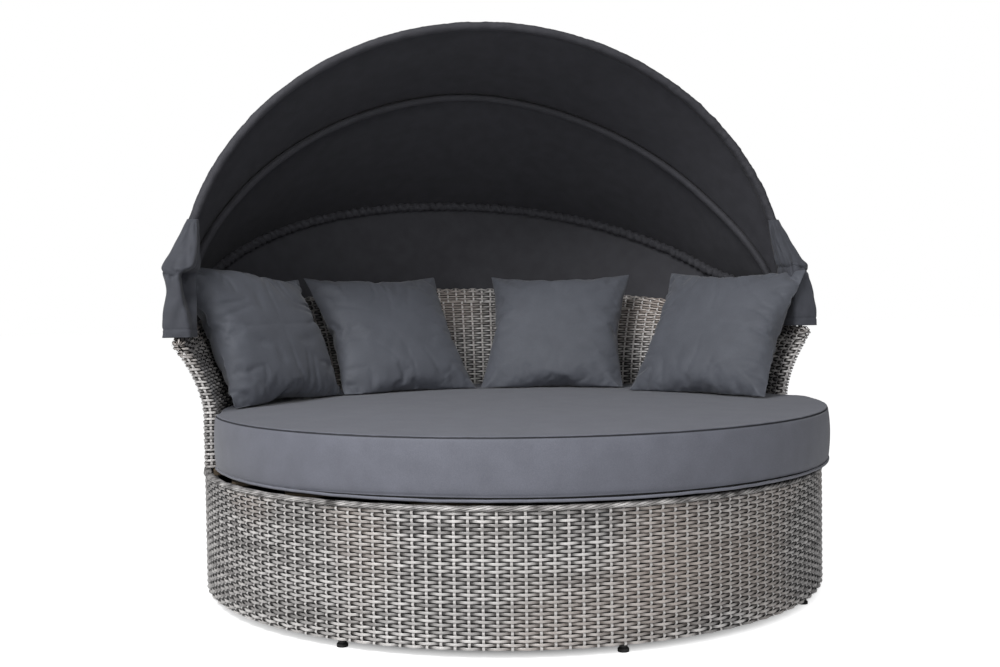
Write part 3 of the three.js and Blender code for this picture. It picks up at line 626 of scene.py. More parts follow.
class DAYBED_OT_drum_weave(bpy.types.Operator):
    """Weave the round base"""
    bl_idname = "daybed.drum_weave"
    bl_label = "Drum weave"

    def execute(self, context):
        stakes = round_stakes(2 * math.pi * DRUM_RADIUS)
        rows, pitch = rows_between(DRUM_BOTTOM, WEAVE_TOP)
        middle = DRUM_RADIUS - sizes("weave").wave - 1.0 * MM

        def place(s, z, offset):
            return on_arc(2 * math.pi * s / stakes, middle + offset, z)

        bm = woven_mesh()
        weave(bm, stakes, rows, DRUM_BOTTOM, pitch, place, True, seed=3)
        finish_mesh("drum_weave", bm, weave_materials(), "daybed", ["base_weave"])
        return {"FINISHED"}


# The rim's braid: its strands, its middle line below and inside the rim's edge, its half width and half height, and
# the dark core inside it, a sheet of painted shade
RIM_STRANDS = 7
RIM_STEPS = 6
RIM_TURN_STAKES = 5
RIM_INSET = 8.5 * MM
RIM_DROP = 7.5 * MM
RIM_HALF = (11.5 * MM, 6.6 * MM)
RIM_CORE = (10.6 * MM, 5.8 * MM)
RIM_CORE_SIDES = 8
RIM_STRAND_LEAN = 0.36


class DAYBED_OT_rim_braid(bpy.types.Operator):
    """Braid the drum's top edge"""
    bl_idname = "daybed.rim_braid"
    bl_label = "Rim braid"

    def execute(self, context):
        stakes = round_stakes(2 * math.pi * DRUM_RADIUS)
        turns = stakes // RIM_TURN_STAKES
        bm = woven_mesh()
        tone = bm.verts.layers.float["tone"]
        rng = random.Random(11)

        def on_rim(s, lean, half, over=1.0):
            return on_arc(2 * math.pi * s / stakes, DRUM_RADIUS - RIM_INSET + half[0] * over * math.cos(lean),
                          RIM_TOP - RIM_DROP + half[1] * over * math.sin(lean))

        for n in range(RIM_STRANDS):
            pale = rng.uniform(0.55, 1.0)

            def place(column, line, n=n):
                s = column / RIM_STEPS
                lean = 2 * math.pi * (n / RIM_STRANDS + s * turns / stakes) + (line - 1) * RIM_STRAND_LEAN
                over = 1 + 0.07 * math.cos(math.pi * s + n) + (0.05 if line == 1 else 0)
                return on_rim(s, lean, RIM_HALF, over + 0.07 * ripple(s * 0.8, n, 3))

            for vert in grid(bm, stakes * RIM_STEPS, 2, place):
                vert[tone] = pale * (0.6 + 0.9 * noise.noise(vert.co / (21 * MM)))
        # The dark core is painted shade inside the braid
        grid(bm, stakes, RIM_CORE_SIDES, lambda column, line: on_rim(
            column, 2 * math.pi * line / RIM_CORE_SIDES, RIM_CORE), slot=1)
        merge(bm, WEAVE_MERGE)
        finish_mesh("rim_braid", bm, weave_materials(), "daybed", ["base_rim_braid"])
        return {"FINISHED"}


# The backrest's crown: how far its weave comes down each face, and how it turns down over the arms' ends
CROWN_SIDE = 30 * MM
CROWN_LIFT = 1.1 * MM
CROWN_END_SHARE = 0.6
CROWN_END_LEAN = 84 * DEGREES


class DAYBED_OT_back_weave(bpy.types.Operator):
    """Weave the upstand, the backrest and its rounded top"""
    bl_idname = "daybed.back_weave"
    bl_label = "Backrest weave"

    def execute(self, context):
        stakes = round_stakes(2 * math.pi * WALL_MIDDLE + 4 * HALF_WALL)
        loop = WallLoop(stakes)

        rows, pitch = rows_between(RIM_TOP, UPSTAND_TOP)
        bm = woven_mesh()
        weave(bm, stakes, rows, RIM_TOP + 0.5 * MM, pitch, loop.place, True, seed=5)
        finish_mesh("upstand_weave", bm, weave_materials(), "daybed", ["back_upstand"])

        rows, pitch = rows_between(COVER_BOTTOM, BACK_TOP)
        bm = woven_mesh()
        weave(bm, stakes, rows, COVER_BOTTOM, pitch, loop.place, True, seed=7, keep=loop.keep)
        finish_mesh("backrest_cover", bm, weave_materials(), "daybed", ["backrest_weave"])

        bend = HALF_WALL - STRIP_ROOM
        across = 2 * CROWN_SIDE + math.pi * bend
        rows, pitch = rows_between(0, across)
        stakes = round(math.pi * (WALL_MIDDLE + FLARE) / sizes("weave").stake_pitch)
        end = bend / (WALL_MIDDLE + FLARE)

        def cap(s, v, offset):
            # The first and last stake's width turn down over the arms' ends like a dome
            past = max(1 - s, s - 1 - stakes, 0)
            lean = min(past / CROWN_END_SHARE, 1) * CROWN_END_LEAN
            share = min(max((s - 1) / stakes, 0), 1)
            angle = end + (math.pi - 2 * end) * share
            shoulder = wall_top(angle) - HALF_WALL
            radius = (bend + offset) * math.cos(lean)
            ahead = (bend + offset) * math.sin(lean) * (1 if share > 0.5 else -1)
            turn = min(max((v - CROWN_SIDE) / bend, 0), math.pi)
            z = shoulder + radius * math.sin(turn) - max(CROWN_SIDE - v, v - across + CROWN_SIDE, 0)
            spot = on_arc(angle, wall_radius(angle, min(z, shoulder)) + radius * math.cos(turn), z)
            return spot + Vector((-math.sin(angle), math.cos(angle), 0)) * ahead

        bm = woven_mesh()
        weave(bm, stakes + 2, rows, 0, pitch, cap, False, seed=9, lift=CROWN_LIFT)
        finish_mesh("backrest_crown", bm, weave_materials(), "daybed")
        return {"FINISHED"}


# ---------------------------------------------------------------- seat cushion

LOWER_SEAM = 374 * MM
UPPER_SEAM = 508 * MM
SEAT_TOP = 521 * MM
SEAT_RISE = SEAT_TOP - UPPER_SEAM
# The seat's crown as others see it: share of the radius, height
SEAT_CROWN = [(1.0, UPPER_SEAM), (0.93, UPPER_SEAM + 0.55 * SEAT_RISE), (0.75, UPPER_SEAM + 0.9 * SEAT_RISE),
              (0.4, SEAT_TOP), (0.0, SEAT_TOP)]
SEAT_STATIONS = 288
SEAT_MERGE = 1e-6
# A mean radius that turns angles into lengths for noise
SEAT_AROUND = 0.9
PIPING_SIDES = 10


def seat_radius(angle):
    """The cushion's plan: inside the arms at the back, out to the rim at the front."""
    back = DRUM_RADIUS - 2 * HALF_WALL - 8 * MM
    front = 893 * MM + 24 * MM * math.cos(angle + VIEW_SWING)
    return back + (front - back) * smooth(math.sin(-angle) / math.sin(5 * DEGREES))


def seat_height(x, y):
    """Height of the seat cushion's top over a place on the floor."""
    share = math.hypot(x, y) / seat_radius(math.atan2(y, x))
    if share >= 1:
        return UPPER_SEAM
    for (outer, low), (inner, high) in zip(SEAT_CROWN, SEAT_CROWN[1:]):
        if share >= inner:
            return high + (low - high) * (share - inner) / (outer - inner)
    return SEAT_TOP


def seam_drop(angle):
    """How far the lower seam hangs down: nothing at the front, more at the sides."""
    return 10.5 * MM * smooth((abs(angle + math.pi / 2) - 0.45) / 0.75)


def seat_section():
    """The half section, from the middle of the underside to the middle of the top: share of the radius, height and
    share of the seam's pinch."""
    underside = [(0.0, 0), (0.4, 0), (0.8, 0), (0.93, 0.5), (0.975, 1.5), (0.992, 6)]
    section = [(share, SLAT_TOP + up * MM, 0) for share, up in underside]
    section += [(1.0, LOWER_SEAM + up * MM, pinch) for up, pinch in ((-2.5, 0.5), (0, 1), (2.5, 0.4), (8, 0))]
    side_rows = 12
    side = UPPER_SEAM - LOWER_SEAM - 15 * MM
    section += [(1.0, LOWER_SEAM + 8 * MM + side * k / side_rows, 0) for k in range(1, side_rows)]
    rolled = [(1.0, -7, 0), (1.0, -2.2, 0.25), (1.0, 0, 1), (0.9985, 2.0, 0.25), (0.993, 4.2, 0)]
    section += [(share, UPPER_SEAM + up * MM, pinch) for share, up, pinch in rolled]
    for share in (0.985, 0.97, 0.95, 0.92, 0.89, 0.85, 0.8, 0.74, 0.67, 0.6, 0.52, 0.44, 0.36, 0.28, 0.2, 0.1):
        section.append((share, SEAT_TOP - 11 * MM * smooth((share - 0.35) / 0.65) ** 1.4, 0))
    return [*section, (0.0, SEAT_TOP, 0)]


def settle_seat(spot, pinch):
    """Where a point of the turned section goes: the real plan, with the pull of the seams and the cloth's slack."""
    x, y, z = spot
    share = math.hypot(x, y)
    angle = math.atan2(y, x)
    radius = seat_radius(angle) * share
    around = angle * SEAT_AROUND
    if share > 0.9995:
        rise = (z - LOWER_SEAM) / (UPPER_SEAM - LOWER_SEAM)
        if 0 < rise < 1 and math.sin(angle) < 0:
            radius += 6 * MM * 4 * rise * (1 - rise)
        radius -= pinch
        near = math.exp(-abs(z - LOWER_SEAM) / (22 * MM)) + 0.5 * math.exp(-abs(z - UPPER_SEAM) / (14 * MM))
        radius += near * 1.3 * MM * ripple(around / (26 * MM), z / (60 * MM), 1.7)
        radius += 2.2 * MM * ripple(around / (210 * MM), z / (120 * MM), 8.1)
        z -= seam_drop(angle) * smooth(1 - rise * 1.6) * (0.6 if rise < -0.01 else 1)
    elif z > UPPER_SEAM:
        here = Vector((radius * math.cos(angle), radius * math.sin(angle), 0))
        edge = smooth((1 - share) / 0.06)
        z += edge * 2.6 * MM * noise.noise(here / (240 * MM) + Vector((3, 1, 4)))
        z += (1 - edge) * 1.1 * MM * ripple(around / (30 * MM), share * 9, 2.2)
    return radius * math.cos(angle), radius * math.sin(angle), z


class DAYBED_OT_seat_cushion(bpy.types.Operator):
    """Make the round seat cushion with its seams and piping"""
    bl_idname = "daybed.seat_cushion"
    bl_label = "Seat cushion"

    def execute(self, context):
        look = sizes("seat")
        section = seat_section()
        pinches = {round(z, 6): look.groove * pull for share, z, pull in section if pull}
        bm = bmesh.new()
        verts = [bm.verts.new((share, 0, z)) for share, z, _ in section]
        edges = [bm.edges.new(pair) for pair in zip(verts, verts[1:])]
        bmesh.ops.spin(bm, geom=verts + edges, cent=(0, 0, 0), axis=(0, 0, 1), angle=2 * math.pi,
                       steps=SEAT_STATIONS, use_merge=True, use_duplicate=False)
        merge(bm, SEAT_MERGE)
        for vert in bm.verts:
            if math.hypot(*vert.co.xy) > SEAT_MERGE:
                vert.co = settle_seat(vert.co, pinches.get(round(vert.co.z, 6), 0))
        bmesh.ops.recalc_face_normals(bm, faces=bm.faces)
        for face in bm.faces:
            x, y, level = face.calc_center_median()
            angle = math.atan2(y, x)
            # Faces in the upper seam's groove take the seam colour: thread, and painted shade in the groove
            if abs(level - UPPER_SEAM) < 1.3 * MM and math.hypot(x, y) > 0.9965 * seat_radius(angle) - look.groove:
                face.material_index = 1
            # Faces below the lower seam take the felt, whose black is painted shade in the gap under the cushion
            elif level < LOWER_SEAM - 1.5 * MM - seam_drop(angle):
                face.material_index = 2
        cloth = cover_cloth("polyester cover cloth, plain woven", look.cloth, 1.7, 0.2)
        cushion = finish_mesh("seat_cushion_cover", bm, [cloth, seam_thread_and_shade(), felt()], "daybed",
                              ["seat_cushion"])

        def cord(column, line):
            angle = 2 * math.pi * column / SEAT_STATIONS
            lean = 2 * math.pi * line / PIPING_SIDES
            wave = 0.9 * MM * ripple(angle * SEAT_AROUND / (45 * MM), 0, 5.5)
            radius = seat_radius(angle) + 0.4 * MM + wave + look.piping * math.cos(lean)
            level = LOWER_SEAM - seam_drop(angle) + wave * 1.4
            return on_arc(angle, radius, level + look.piping * math.sin(lean))

        bm = bmesh.new()
        grid(bm, SEAT_STATIONS, PIPING_SIDES, cord)
        merge(bm, SEAT_MERGE)
        piping = cover_cloth("polyester piping, bias cut", shade(look.cloth, 1.15), 1.2, 0.3)
        finish_mesh("seat_cushion_piping", bm, [piping], "daybed")
        return {"FINISHED"}


# ---------------------------------------------------------------- scatter cushions

# The cloth's own behaviour while a scatter cushion fills
CLOTH = {
    "quality": 6, "mass": 0.3, "tension_stiffness": 30, "compression_stiffness": 8, "shear_stiffness": 6,
    "bending_stiffness": 0.1, "use_pressure": True, "vertex_group_shrink": "seam", "shrink_min": 0,
    "air_damping": 2,
}


def sewn_pillow(name, cells, side, thickness, seed):
    """Two squares of cloth sewn together at their edges, loosely filled, with the seam marked."""
    bm = bmesh.new()
    bmesh.ops.create_grid(bm, x_segments=cells, y_segments=cells, size=side / 2)
    rng = random.Random(seed)
    shift = Vector([rng.uniform(0, 9) for _ in range(3)])
    top = bmesh.ops.extrude_face_region(bm, geom=bm.faces[:])
    upper = {v for v in top["geom"] if isinstance(v, bmesh.types.BMVert)}
    seam = []
    bm.verts.index_update()
    for vert in bm.verts:
        u, v = 2 * vert.co.x / side, 2 * vert.co.y / side
        swell = (max(1 - abs(u) ** 2.4, 0) * max(1 - abs(v) ** 2.4, 0)) ** 0.5
        uneven = 1 + 0.13 * noise.noise(Vector((u * 1.7, v * 1.7, 0)) + shift)
        rise = (1.5 * MM + thickness / 2 * swell) * uneven
        bow = 0.012 * noise.noise(Vector((u, v, 4)) + shift)
        vert.co = (u * side / 2 * (1 + bow * (1 - v * v)), v * side / 2 * (1 + bow * (1 - u * u)),
                   rise if vert in upper else -rise)
        seam.append(min(max((max(abs(u), abs(v)) - 0.86) / 0.1, 0.0), 1.0))
    bmesh.ops.recalc_face_normals(bm, faces=bm.faces)
    mesh = bpy.data.meshes.new(name)
    bm.to_mesh(mesh)
    bm.free()
    piece = bpy.data.objects.new(name, mesh)
    bpy.context.scene.collection.objects.link(piece)
    group = piece.vertex_groups.new(name="seam")
    for index, weight in enumerate(seam):
        if weight:
            group.add([index], weight, "REPLACE")
    return piece


def fill_by_cloth(pieces, pressure, gather, frames):
    """Fills sewn pillows with Blender's cloth while their seams draw in, and applies the result."""
    scene = bpy.context.scene
    for piece in pieces:
        cloth = piece.modifiers.new("fill", "CLOTH")
        for key, value in CLOTH.items():
            setattr(cloth.settings, key, value)
        cloth.settings.uniform_pressure_force = pressure
        cloth.settings.shrink_max = gather
        cloth.settings.effector_weights.gravity = 0
        cloth.collision_settings.use_collision = False
        cloth.collision_settings.use_self_collision = False
        cloth.point_cache.frame_start = 1
        cloth.point_cache.frame_end = frames
    for number in range(1, frames + 1):
        scene.frame_set(number)
    depth = bpy.context.evaluated_depsgraph_get()
    for piece in pieces:
        filled = bpy.data.meshes.new_from_object(piece.evaluated_get(depth))
        piece.modifiers.clear()
        piece.vertex_groups.clear()
        old = piece.data
        piece.data = filled
        bpy.data.meshes.remove(old)
    scene.frame_set(1)


def worked(x, y, z, half, seed, creased, droop):
    """A filled point with the sewing's effects: gathers and creases stand in from the seams, the corners are drawn
    out into points, and a free upper corner droops."""
    edge = half - max(abs(x), abs(y))
    along = y if abs(x) > abs(y) else x
    face = 1 if z > 0 else -1
    gather = ripple(along / (21 * MM), edge / (90 * MM), seed + 9 * face)
    crease = ripple(along / (62 * MM), edge / (150 * MM), seed - 7 * face)
    fold = 11 * MM * math.exp(-edge / (34 * MM)) * gather
    fold -= 14 * MM * math.exp(-edge / (80 * MM)) * math.exp(-abs(crease) / 0.07)
    z += face * smooth(edge / (13 * MM)) * fold * creased
    point = 1 + 0.025 * (abs(x * y) / half ** 2) ** 5
    y -= droop * MM * smooth(0.3 + 0.7 * x / half) * smooth(y / half)
    return x, y, z, point


class DAYBED_OT_pillows(bpy.types.Operator):
    """Sew, fill and lean the scatter cushions"""
    bl_idname = "daybed.pillows"
    bl_label = "Scatter cushions"

    def execute(self, context):
        look = sizes("pillows")
        cloth = cover_cloth("polyester scatter cover, plain woven", look.cloth, 1.7, 0.2)
        pieces = [sewn_pillow(name + "_cover", look.cells, look.side * 1.03, look.thickness * 0.85, seed)
                  for seed, name in enumerate(PILLOWS)]
        fill_by_cloth(pieces, look.pressure, look.gather, look.frames)
        for piece, name in zip(pieces, PILLOWS):
            around, inset, turn, lean, push, skew, creased, droop = PILLOWS[name]
            mesh = piece.data
            places = [v.co.copy() for v in mesh.vertices]
            low = Vector([min(p[i] for p in places) for i in range(3)])
            high = Vector([max(p[i] for p in places) for i in range(3)])
            middle = (low + high) / 2
            grow = Vector((look.side / (high.x - low.x), look.side / (high.y - low.y),
                           look.thickness / (high.z - low.z)))
            spot = Matrix.Translation(on_arc(around * DEGREES, DRUM_RADIUS - 2 * HALF_WALL - inset * MM, 0))
            pose = spot @ Matrix.Rotation(turn * DEGREES, 4, "Z") @ Matrix.Rotation((90 - lean) * DEGREES, 4, "X")
            for vert, old in zip(mesh.vertices, places):
                filled = [(old[i] - middle[i]) * grow[i] for i in range(3)]
                x, y, z, point = worked(*filled, look.side / 2, around, creased, droop)
                vert.co = pose @ Vector((x * point + skew * y + push * MM, y * point * look.height, z))
            # The fill gives where the piece rests, so its lowest part lies flat on the seat
            lift = max(seat_height(v.co.x, v.co.y) - v.co.z for v in mesh.vertices) - look.sink
            for vert in mesh.vertices:
                vert.co.z = max(vert.co.z + lift, seat_height(vert.co.x, vert.co.y) + 0.6 * MM)
            for face in mesh.polygons:
                face.use_smooth = True
            mesh.materials.clear()
            mesh.materials.append(cloth)
            finer = piece.modifiers.new("finer", "SUBSURF")
            finer.levels = finer.render_levels = 1
            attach(piece, "daybed")
            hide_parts(name)
        return {"FINISHED"}


# ---------------------------------------------------------------- canopy

def bow_point(name, across, out):
    """A point of a bow's middle line, for a distance out from the pivot."""
    spec = BOWS[name]
    tilt = spec["tilt"] * DEGREES
    back = spec["crank"] * smooth((out - 0.1) / 0.4)
    ahead = Vector((0, math.cos(tilt), math.sin(tilt)))
    behind = Vector((0, math.sin(tilt), -math.cos(tilt)))
    return PIVOT + Vector((across, 0, 0)) + ahead * out + behind * back


def bow_across(name, out):
    spec = BOWS[name]
    share = (out - spec["straight"]) / (spec["reach"] - spec["straight"])
    share = min(max(share, 0), 1)
    across = spec["half"] * (1 - share ** spec["square"]) ** (1 / spec["square"])
    eased = smooth((out - 0.05) / 0.2)
    return spec["eye"] * (1 - eased) + across * eased


def bow_line(name):
    """Even places along a bow's middle line, from the right pivot to the left one, as a function of a share."""
    spec = BOWS[name]
    reach, straight, square = spec["reach"], spec["straight"], spec["square"]
    right = []
    for k in range(12):
        out = EYE_OUT + (straight - EYE_OUT) * k / 12
        right.append(bow_point(name, bow_across(name, out), out))
    for k in range(200):
        out = straight + (reach - straight) * math.sin(k / 200 * math.pi / 2) ** (2 / square)
        right.append(bow_point(name, bow_across(name, out), out))
    left = [Vector((-p.x, p.y, p.z)) for p in reversed(right)]
    points = [*right, bow_point(name, 0, reach), *left]
    marks = running(points)

    def at(share):
        k, part = step_at(marks, min(max(share, 0), 1) * marks[-1])
        return points[k].lerp(points[k + 1], part)

    return at, marks[-1]


BOW_LINES = {name: bow_line(name) for name in BOWS}


def along_bow(name, share):
    """Place and direction on a bow, its direction taken over a short run so that it turns evenly."""
    at, _ = BOW_LINES[name]
    run = 0.004
    return at(share), (at(share + run) - at(share - run)).normalized()


def hem_at(share):
    """The rear panel's hem, outside the backrest."""
    place, along = along_bow("rear", share)
    angle = math.atan2(place.y, place.x)
    return on_arc(angle, HEM_RADIUS, wall_top(angle) - HEM_DROP), along


PANEL_ENDS = {
    "front": lambda t: (along_bow("front", t), along_bow("middle", t)),
    "middle": lambda t: (along_bow("middle", t), along_bow("rear", t)),
    "rear": lambda t: (along_bow("rear", t), hem_at(t)),
}


def panel_normal(panel, t, direction=None):
    (a, along_a), (b, along_b) = PANEL_ENDS[panel](t)
    along = direction or (along_a + along_b)
    normal = along.cross(b - a).normalized()
    return -normal if normal.dot(a - PIVOT) < 0 else normal


def cloth_over(bow, panels, t):
    """Where cloth lies over a bow."""
    middle, along = along_bow(bow, t)
    normals = [panel_normal(panel, t, along) for panel in panels]
    mean = sum(normals, Vector()).normalized()
    return middle + mean * (LAP / mean.dot(normals[0]))


OVER = {
    "front": lambda t: cloth_over("front", ["front"], t),
    "middle": lambda t: cloth_over("middle", ["front", "middle"], t),
    "rear": lambda t: cloth_over("rear", ["middle", "rear"], t),
    "hem": lambda t: hem_at(t)[0],
}

# Each panel: the bows it spans, where it starts along them, its sag as a share of its span, its node and its bodies
PANELS = {
    "front": {"from": "front", "to": "middle", "first": 1 / 36, "sag": 0.024, "node": "canopy_front_panel",
              "bodies": ("front_hoop", "middle_hoop")},
    "middle": {"from": "middle", "to": "rear", "first": 1 / 36, "sag": 0.024, "node": "canopy_middle_panel",
               "bodies": ("middle_hoop", "rear_hoop")},
    "rear": {"from": "rear", "to": "hem", "first": 3 / 36, "sag": 0.0, "node": "canopy_rear_panel",
             "bodies": ("rear_hoop", "daybed")},
}


def sheet_area(bm):
    return sum(face.calc_area() for face in bm.faces)


def canopy_faces():
    look = sizes("canopy")
    # The lining face is the same canvas drawn darker: painted shade inside the canopy
    return [canopy_face("polyester canvas, outer face", look.outside, 0.15),
            canopy_face("polyester canvas, lining face", look.shaded_lining, 0.05)]


def thicken(piece, thickness):
    """Gives a sheet its thickness, with the darker lining face on its inner side, painted shade."""
    solid = piece.modifiers.new("cloth", "SOLIDIFY")
    solid.thickness = thickness
    solid.offset = 0
    solid.use_rim = True
    solid.material_offset = 1


PANEL_COLUMNS, PANEL_ROWS = 260, 26
# A panel's gathers beside each sleeve, its long soft folds, and its crush near the pivots
GATHER_DEPTH, GATHER_REACH, SEAM_FLAT = 2.4 * MM, 40 * MM, 14 * MM
SLACK_DEPTH = 4.5 * MM
CRUSH_DEPTH, CRUSH_SIZE = 14 * MM, 55 * MM


class DAYBED_OT_canopy_panels(bpy.types.Operator):
    """Hang the canopy's three panels over the bows"""
    bl_idname = "daybed.canopy_panels"
    bl_label = "Canopy panels"

    def execute(self, context):
        look = sizes("canopy")
        faces = canopy_faces()
        for name, panel in PANELS.items():
            cache = {}

            def edge(column):
                if column not in cache:
                    t = panel["first"] + (1 - 2 * panel["first"]) * column / PANEL_COLUMNS
                    a, b = OVER[panel["from"]](t), OVER[panel["to"]](t)
                    cache[column] = (a, b, panel_normal(name, t), t)
                return cache[column]

            def place(column, row):
                a, b, out, t = edge(column)
                share = row / PANEL_ROWS
                span = (b - a).length
                bulge = 4 * share * (1 - share)
                point = a.lerp(b, share)
                # Small gathers die away from each sleeve, and slack lies in long soft folds between them
                gather = math.exp(-share * span / GATHER_REACH) + math.exp(-(1 - share) * span / GATHER_REACH)
                gather *= GATHER_DEPTH * ripple(t * 78, share * 1.5, 3.0 + len(name))
                gather *= smooth(min(share, 1 - share) * span / SEAM_FLAT)
                slack = SLACK_DEPTH * bulge * ripple(t * 11, share * 1.6, 9.0 + len(name))
                near = math.exp(-t / 0.07) + 0.5 * math.exp(-(1 - t) / 0.05)
                crush = CRUSH_DEPTH * near * bulge * noise.noise(point / CRUSH_SIZE)
                return point - out * (panel["sag"] * span * bulge + gather + slack + crush)

            bm = bmesh.new()
            grid(bm, PANEL_COLUMNS, PANEL_ROWS, place)
            area = sheet_area(bm)
            bmesh.ops.recalc_face_normals(bm, faces=bm.faces)
            middle = min(bm.faces, key=lambda f: abs(f.calc_center_median().x))
            if middle.normal.dot(middle.calc_center_median() - PIVOT) < 0:
                bmesh.ops.reverse_faces(bm, faces=bm.faces)
            piece = finish_mesh("canopy_" + name + "_cloth", bm, faces, None, [panel["node"]])
            thicken(piece, look.cloth)
            across = max((edge(c)[1] - edge(c)[0]).length for c in range(PANEL_COLUMNS + 1)) * 1.02
            ends = []
            for place_at in (panel["from"], panel["to"]):
                point, _ = hem_at(0.5) if place_at == "hem" else along_bow(place_at, 0.5)
                ends.append(PIVOT + (point - PIVOT) * 0.78)
            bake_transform(piece, *panel["bodies"], start=tuple(ends[0]), end=tuple(ends[1]))
        return {"FINISHED"}


# Each sleeve: its form, the panel that gives its outward way, where it starts along its bow, how much wider it is
# than the set radius, and the depth of its ruching
SLEEVES = {
    "front": ("band", "front", 1 / 40, 0, 0),
    "middle": ("tube", "middle", 1 / 36, 0, 0),
    "rear": ("tube", "rear", 2.2 / 36, 3 * MM, 3.4 * MM),
}
SLEEVE_COLUMNS = 620
RUCHING_PITCH = 31 * MM


def sleeve_section(kind, radius, band):
    """A sleeve's section round its bow: (toward the panel, outward) points, from the tail's outer face round."""
    points = []
    if kind == "band":
        points.append((band, LAP + 1.8 * MM))
        points.append((band * 0.62, LAP + 2.2 * MM))
        points.append((band * 0.3, LAP + 2.0 * MM))
        for k in range(11):
            turn = (90 + 21 * k) * DEGREES
            points.append((radius * math.cos(turn), radius * math.sin(turn) + 0.6 * MM))
        points.append((band * 0.52, LAP - 9 * MM))
        points.append((band * 0.8, LAP - 3.6 * MM))
        points.append((band, LAP - 1.8 * MM))
    else:
        for k in range(15):
            turn = (72 + 24 * k) * DEGREES
            size = radius * (0.86 if abs((turn / DEGREES) % 360 - 90) < 60 else 1)
            points.append((size * math.cos(turn), size * math.sin(turn)))
    return points


class DAYBED_OT_canopy_sleeves(bpy.types.Operator):
    """Sew the sleeves that hold the bows, and the band along the front"""
    bl_idname = "daybed.canopy_sleeves"
    bl_label = "Canopy sleeves"

    def execute(self, context):
        look = sizes("canopy")
        # The sleeves and the front band wear the darker lining face: painted shade
        shaded_lining = canopy_faces()[1]
        for name, (kind, panel, first, wider, ruching) in SLEEVES.items():
            section = sleeve_section(kind, look.sleeve + wider, look.band)
            count = len(section)
            cache = {}

            def station(column):
                if column not in cache:
                    t = first + (1 - 2 * first) * column / SLEEVE_COLUMNS
                    middle, along = along_bow(name, t)
                    out = panel_normal(panel, t, along)
                    (a, _), (b, _) = PANEL_ENDS[panel](t)
                    back = out.cross(along).normalized()
                    if back.dot(b - a) < 0:
                        back = -back
                    cache[column] = (t, middle, back, out)
                return cache[column]

            def place(column, line):
                t, middle, back, out = station(column)
                line %= count
                x, y = section[line]
                size = math.hypot(x, y)
                run = t * BOW_LINES[name][1]
                low = ripple(run / (34 * MM), line * 0.35, 4.0 + len(name))
                fine = ripple(run / (13 * MM), line * 0.22, 7.0 + len(name))
                lump = 1.1 * MM * low + 0.7 * MM * fine
                if kind == "band":
                    lump *= 1.5 + 1.4 * smooth((0.42 - t) / 0.3)
                lump += ruching * math.sin(2 * math.pi * run / RUCHING_PITCH + 2.8 * low + line * 0.5)
                if kind == "tube":
                    # The panels lie over the outer side, so it stays flat under them
                    lump -= (lump + size - min(size, LAP - 1.6 * MM)) * smooth(0.5 + 1.5 * y / size)
                grow = (size + lump) / size
                return middle + back * (x * grow) + out * (y * grow)

            bm = bmesh.new()
            grid(bm, SLEEVE_COLUMNS, count, place)
            merge(bm, 1e-6)
            ends = [e for e in bm.edges if e.is_boundary]
            bmesh.ops.holes_fill(bm, edges=ends, sides=count)
            bmesh.ops.recalc_face_normals(bm, faces=bm.faces)
            finish_mesh("canopy_" + name + "_sleeve", bm, [shaded_lining], name + "_hoop")
        return {"FINISHED"}


# The hoods over the pivots, level by level from the hem up, in millimetres: the height, then how far across the
# outer side, the fold, its root and the inner side are, then how far back the front, the root, the inner side's end
# and the back are, then the rounding of the corners
BOOTS = {
    "left": [(727, 1009, 930, 925, 913, 4, 34, 64, 300, 11), (770, 1009, 936, 930, 914, 4, 40, 66, 300, 10),
             (812, 1004, 946, 940, 914, 8, 72, 84, 292, 8), (850, 997, 954, 950, 914, 12, 98, 104, 280, 7),
             (880, 997, 958, 955, 913, 16, 104, 110, 268, 6), (908, 1002, 958, 954, 911, 22, 104, 112, 252, 6),
             (924, 1007, 934, 924, 906, 24, 58, 96, 244, 7), (940, 1001, 922, 914, 904, 38, 62, 98, 238, 11),
             (1000, 970, 913, 908, 903, 84, 98, 122, 212, 13), (1070, 937, 912, 909, 905, 132, 138, 146, 186, 11)],
    "right": [(727, 1007, 930, 925, 914, 4, 34, 64, 300, 18), (770, 1007, 930, 925, 914, 4, 34, 66, 300, 18),
              (812, 1003, 930, 926, 914, 10, 40, 72, 292, 18), (870, 993, 926, 922, 913, 18, 48, 84, 268, 16),
              (908, 985, 922, 918, 910, 26, 54, 92, 250, 14), (922, 984, 920, 915, 907, 26, 56, 94, 244, 12),
              (940, 976, 918, 912, 905, 42, 66, 98, 238, 14), (1000, 957, 912, 908, 903, 86, 100, 122, 212, 13),
              (1070, 937, 912, 909, 905, 132, 138, 146, 186, 11)],
}
BOOT_COLUMNS, BOOT_ROWS = 120, 110
BOOT_GATHERS = {"left": 1.0, "right": 1.4}
# The way round a hood, the height of the seam across it, and the seam's dip at the fold's root: its depth, and its
# place and width as shares of the way round
BOOT_AROUND = 0.55
BOOT_CREASE = 915 * MM
DIP_DEPTH, DIP_AT, DIP_WIDE = 15 * MM, 0.63, 0.05
HEM_ROWS = (7, 8)


def eased_through(marks, values, t):
    """A smooth curve through values at marks."""
    k, h = step_at(marks, t)
    step = marks[k + 1] - marks[k]

    def slope(n):
        low, high = max(n - 1, 0), min(n + 1, len(marks) - 1)
        return (values[high] - values[low]) / (marks[high] - marks[low])

    a, b = values[k], values[k + 1]
    return ((2 * h ** 3 - 3 * h ** 2 + 1) * a + (h ** 3 - 2 * h ** 2 + h) * step * slope(k)
            + (3 * h ** 2 - 2 * h ** 3) * b + (h ** 3 - h ** 2) * step * slope(k + 1))


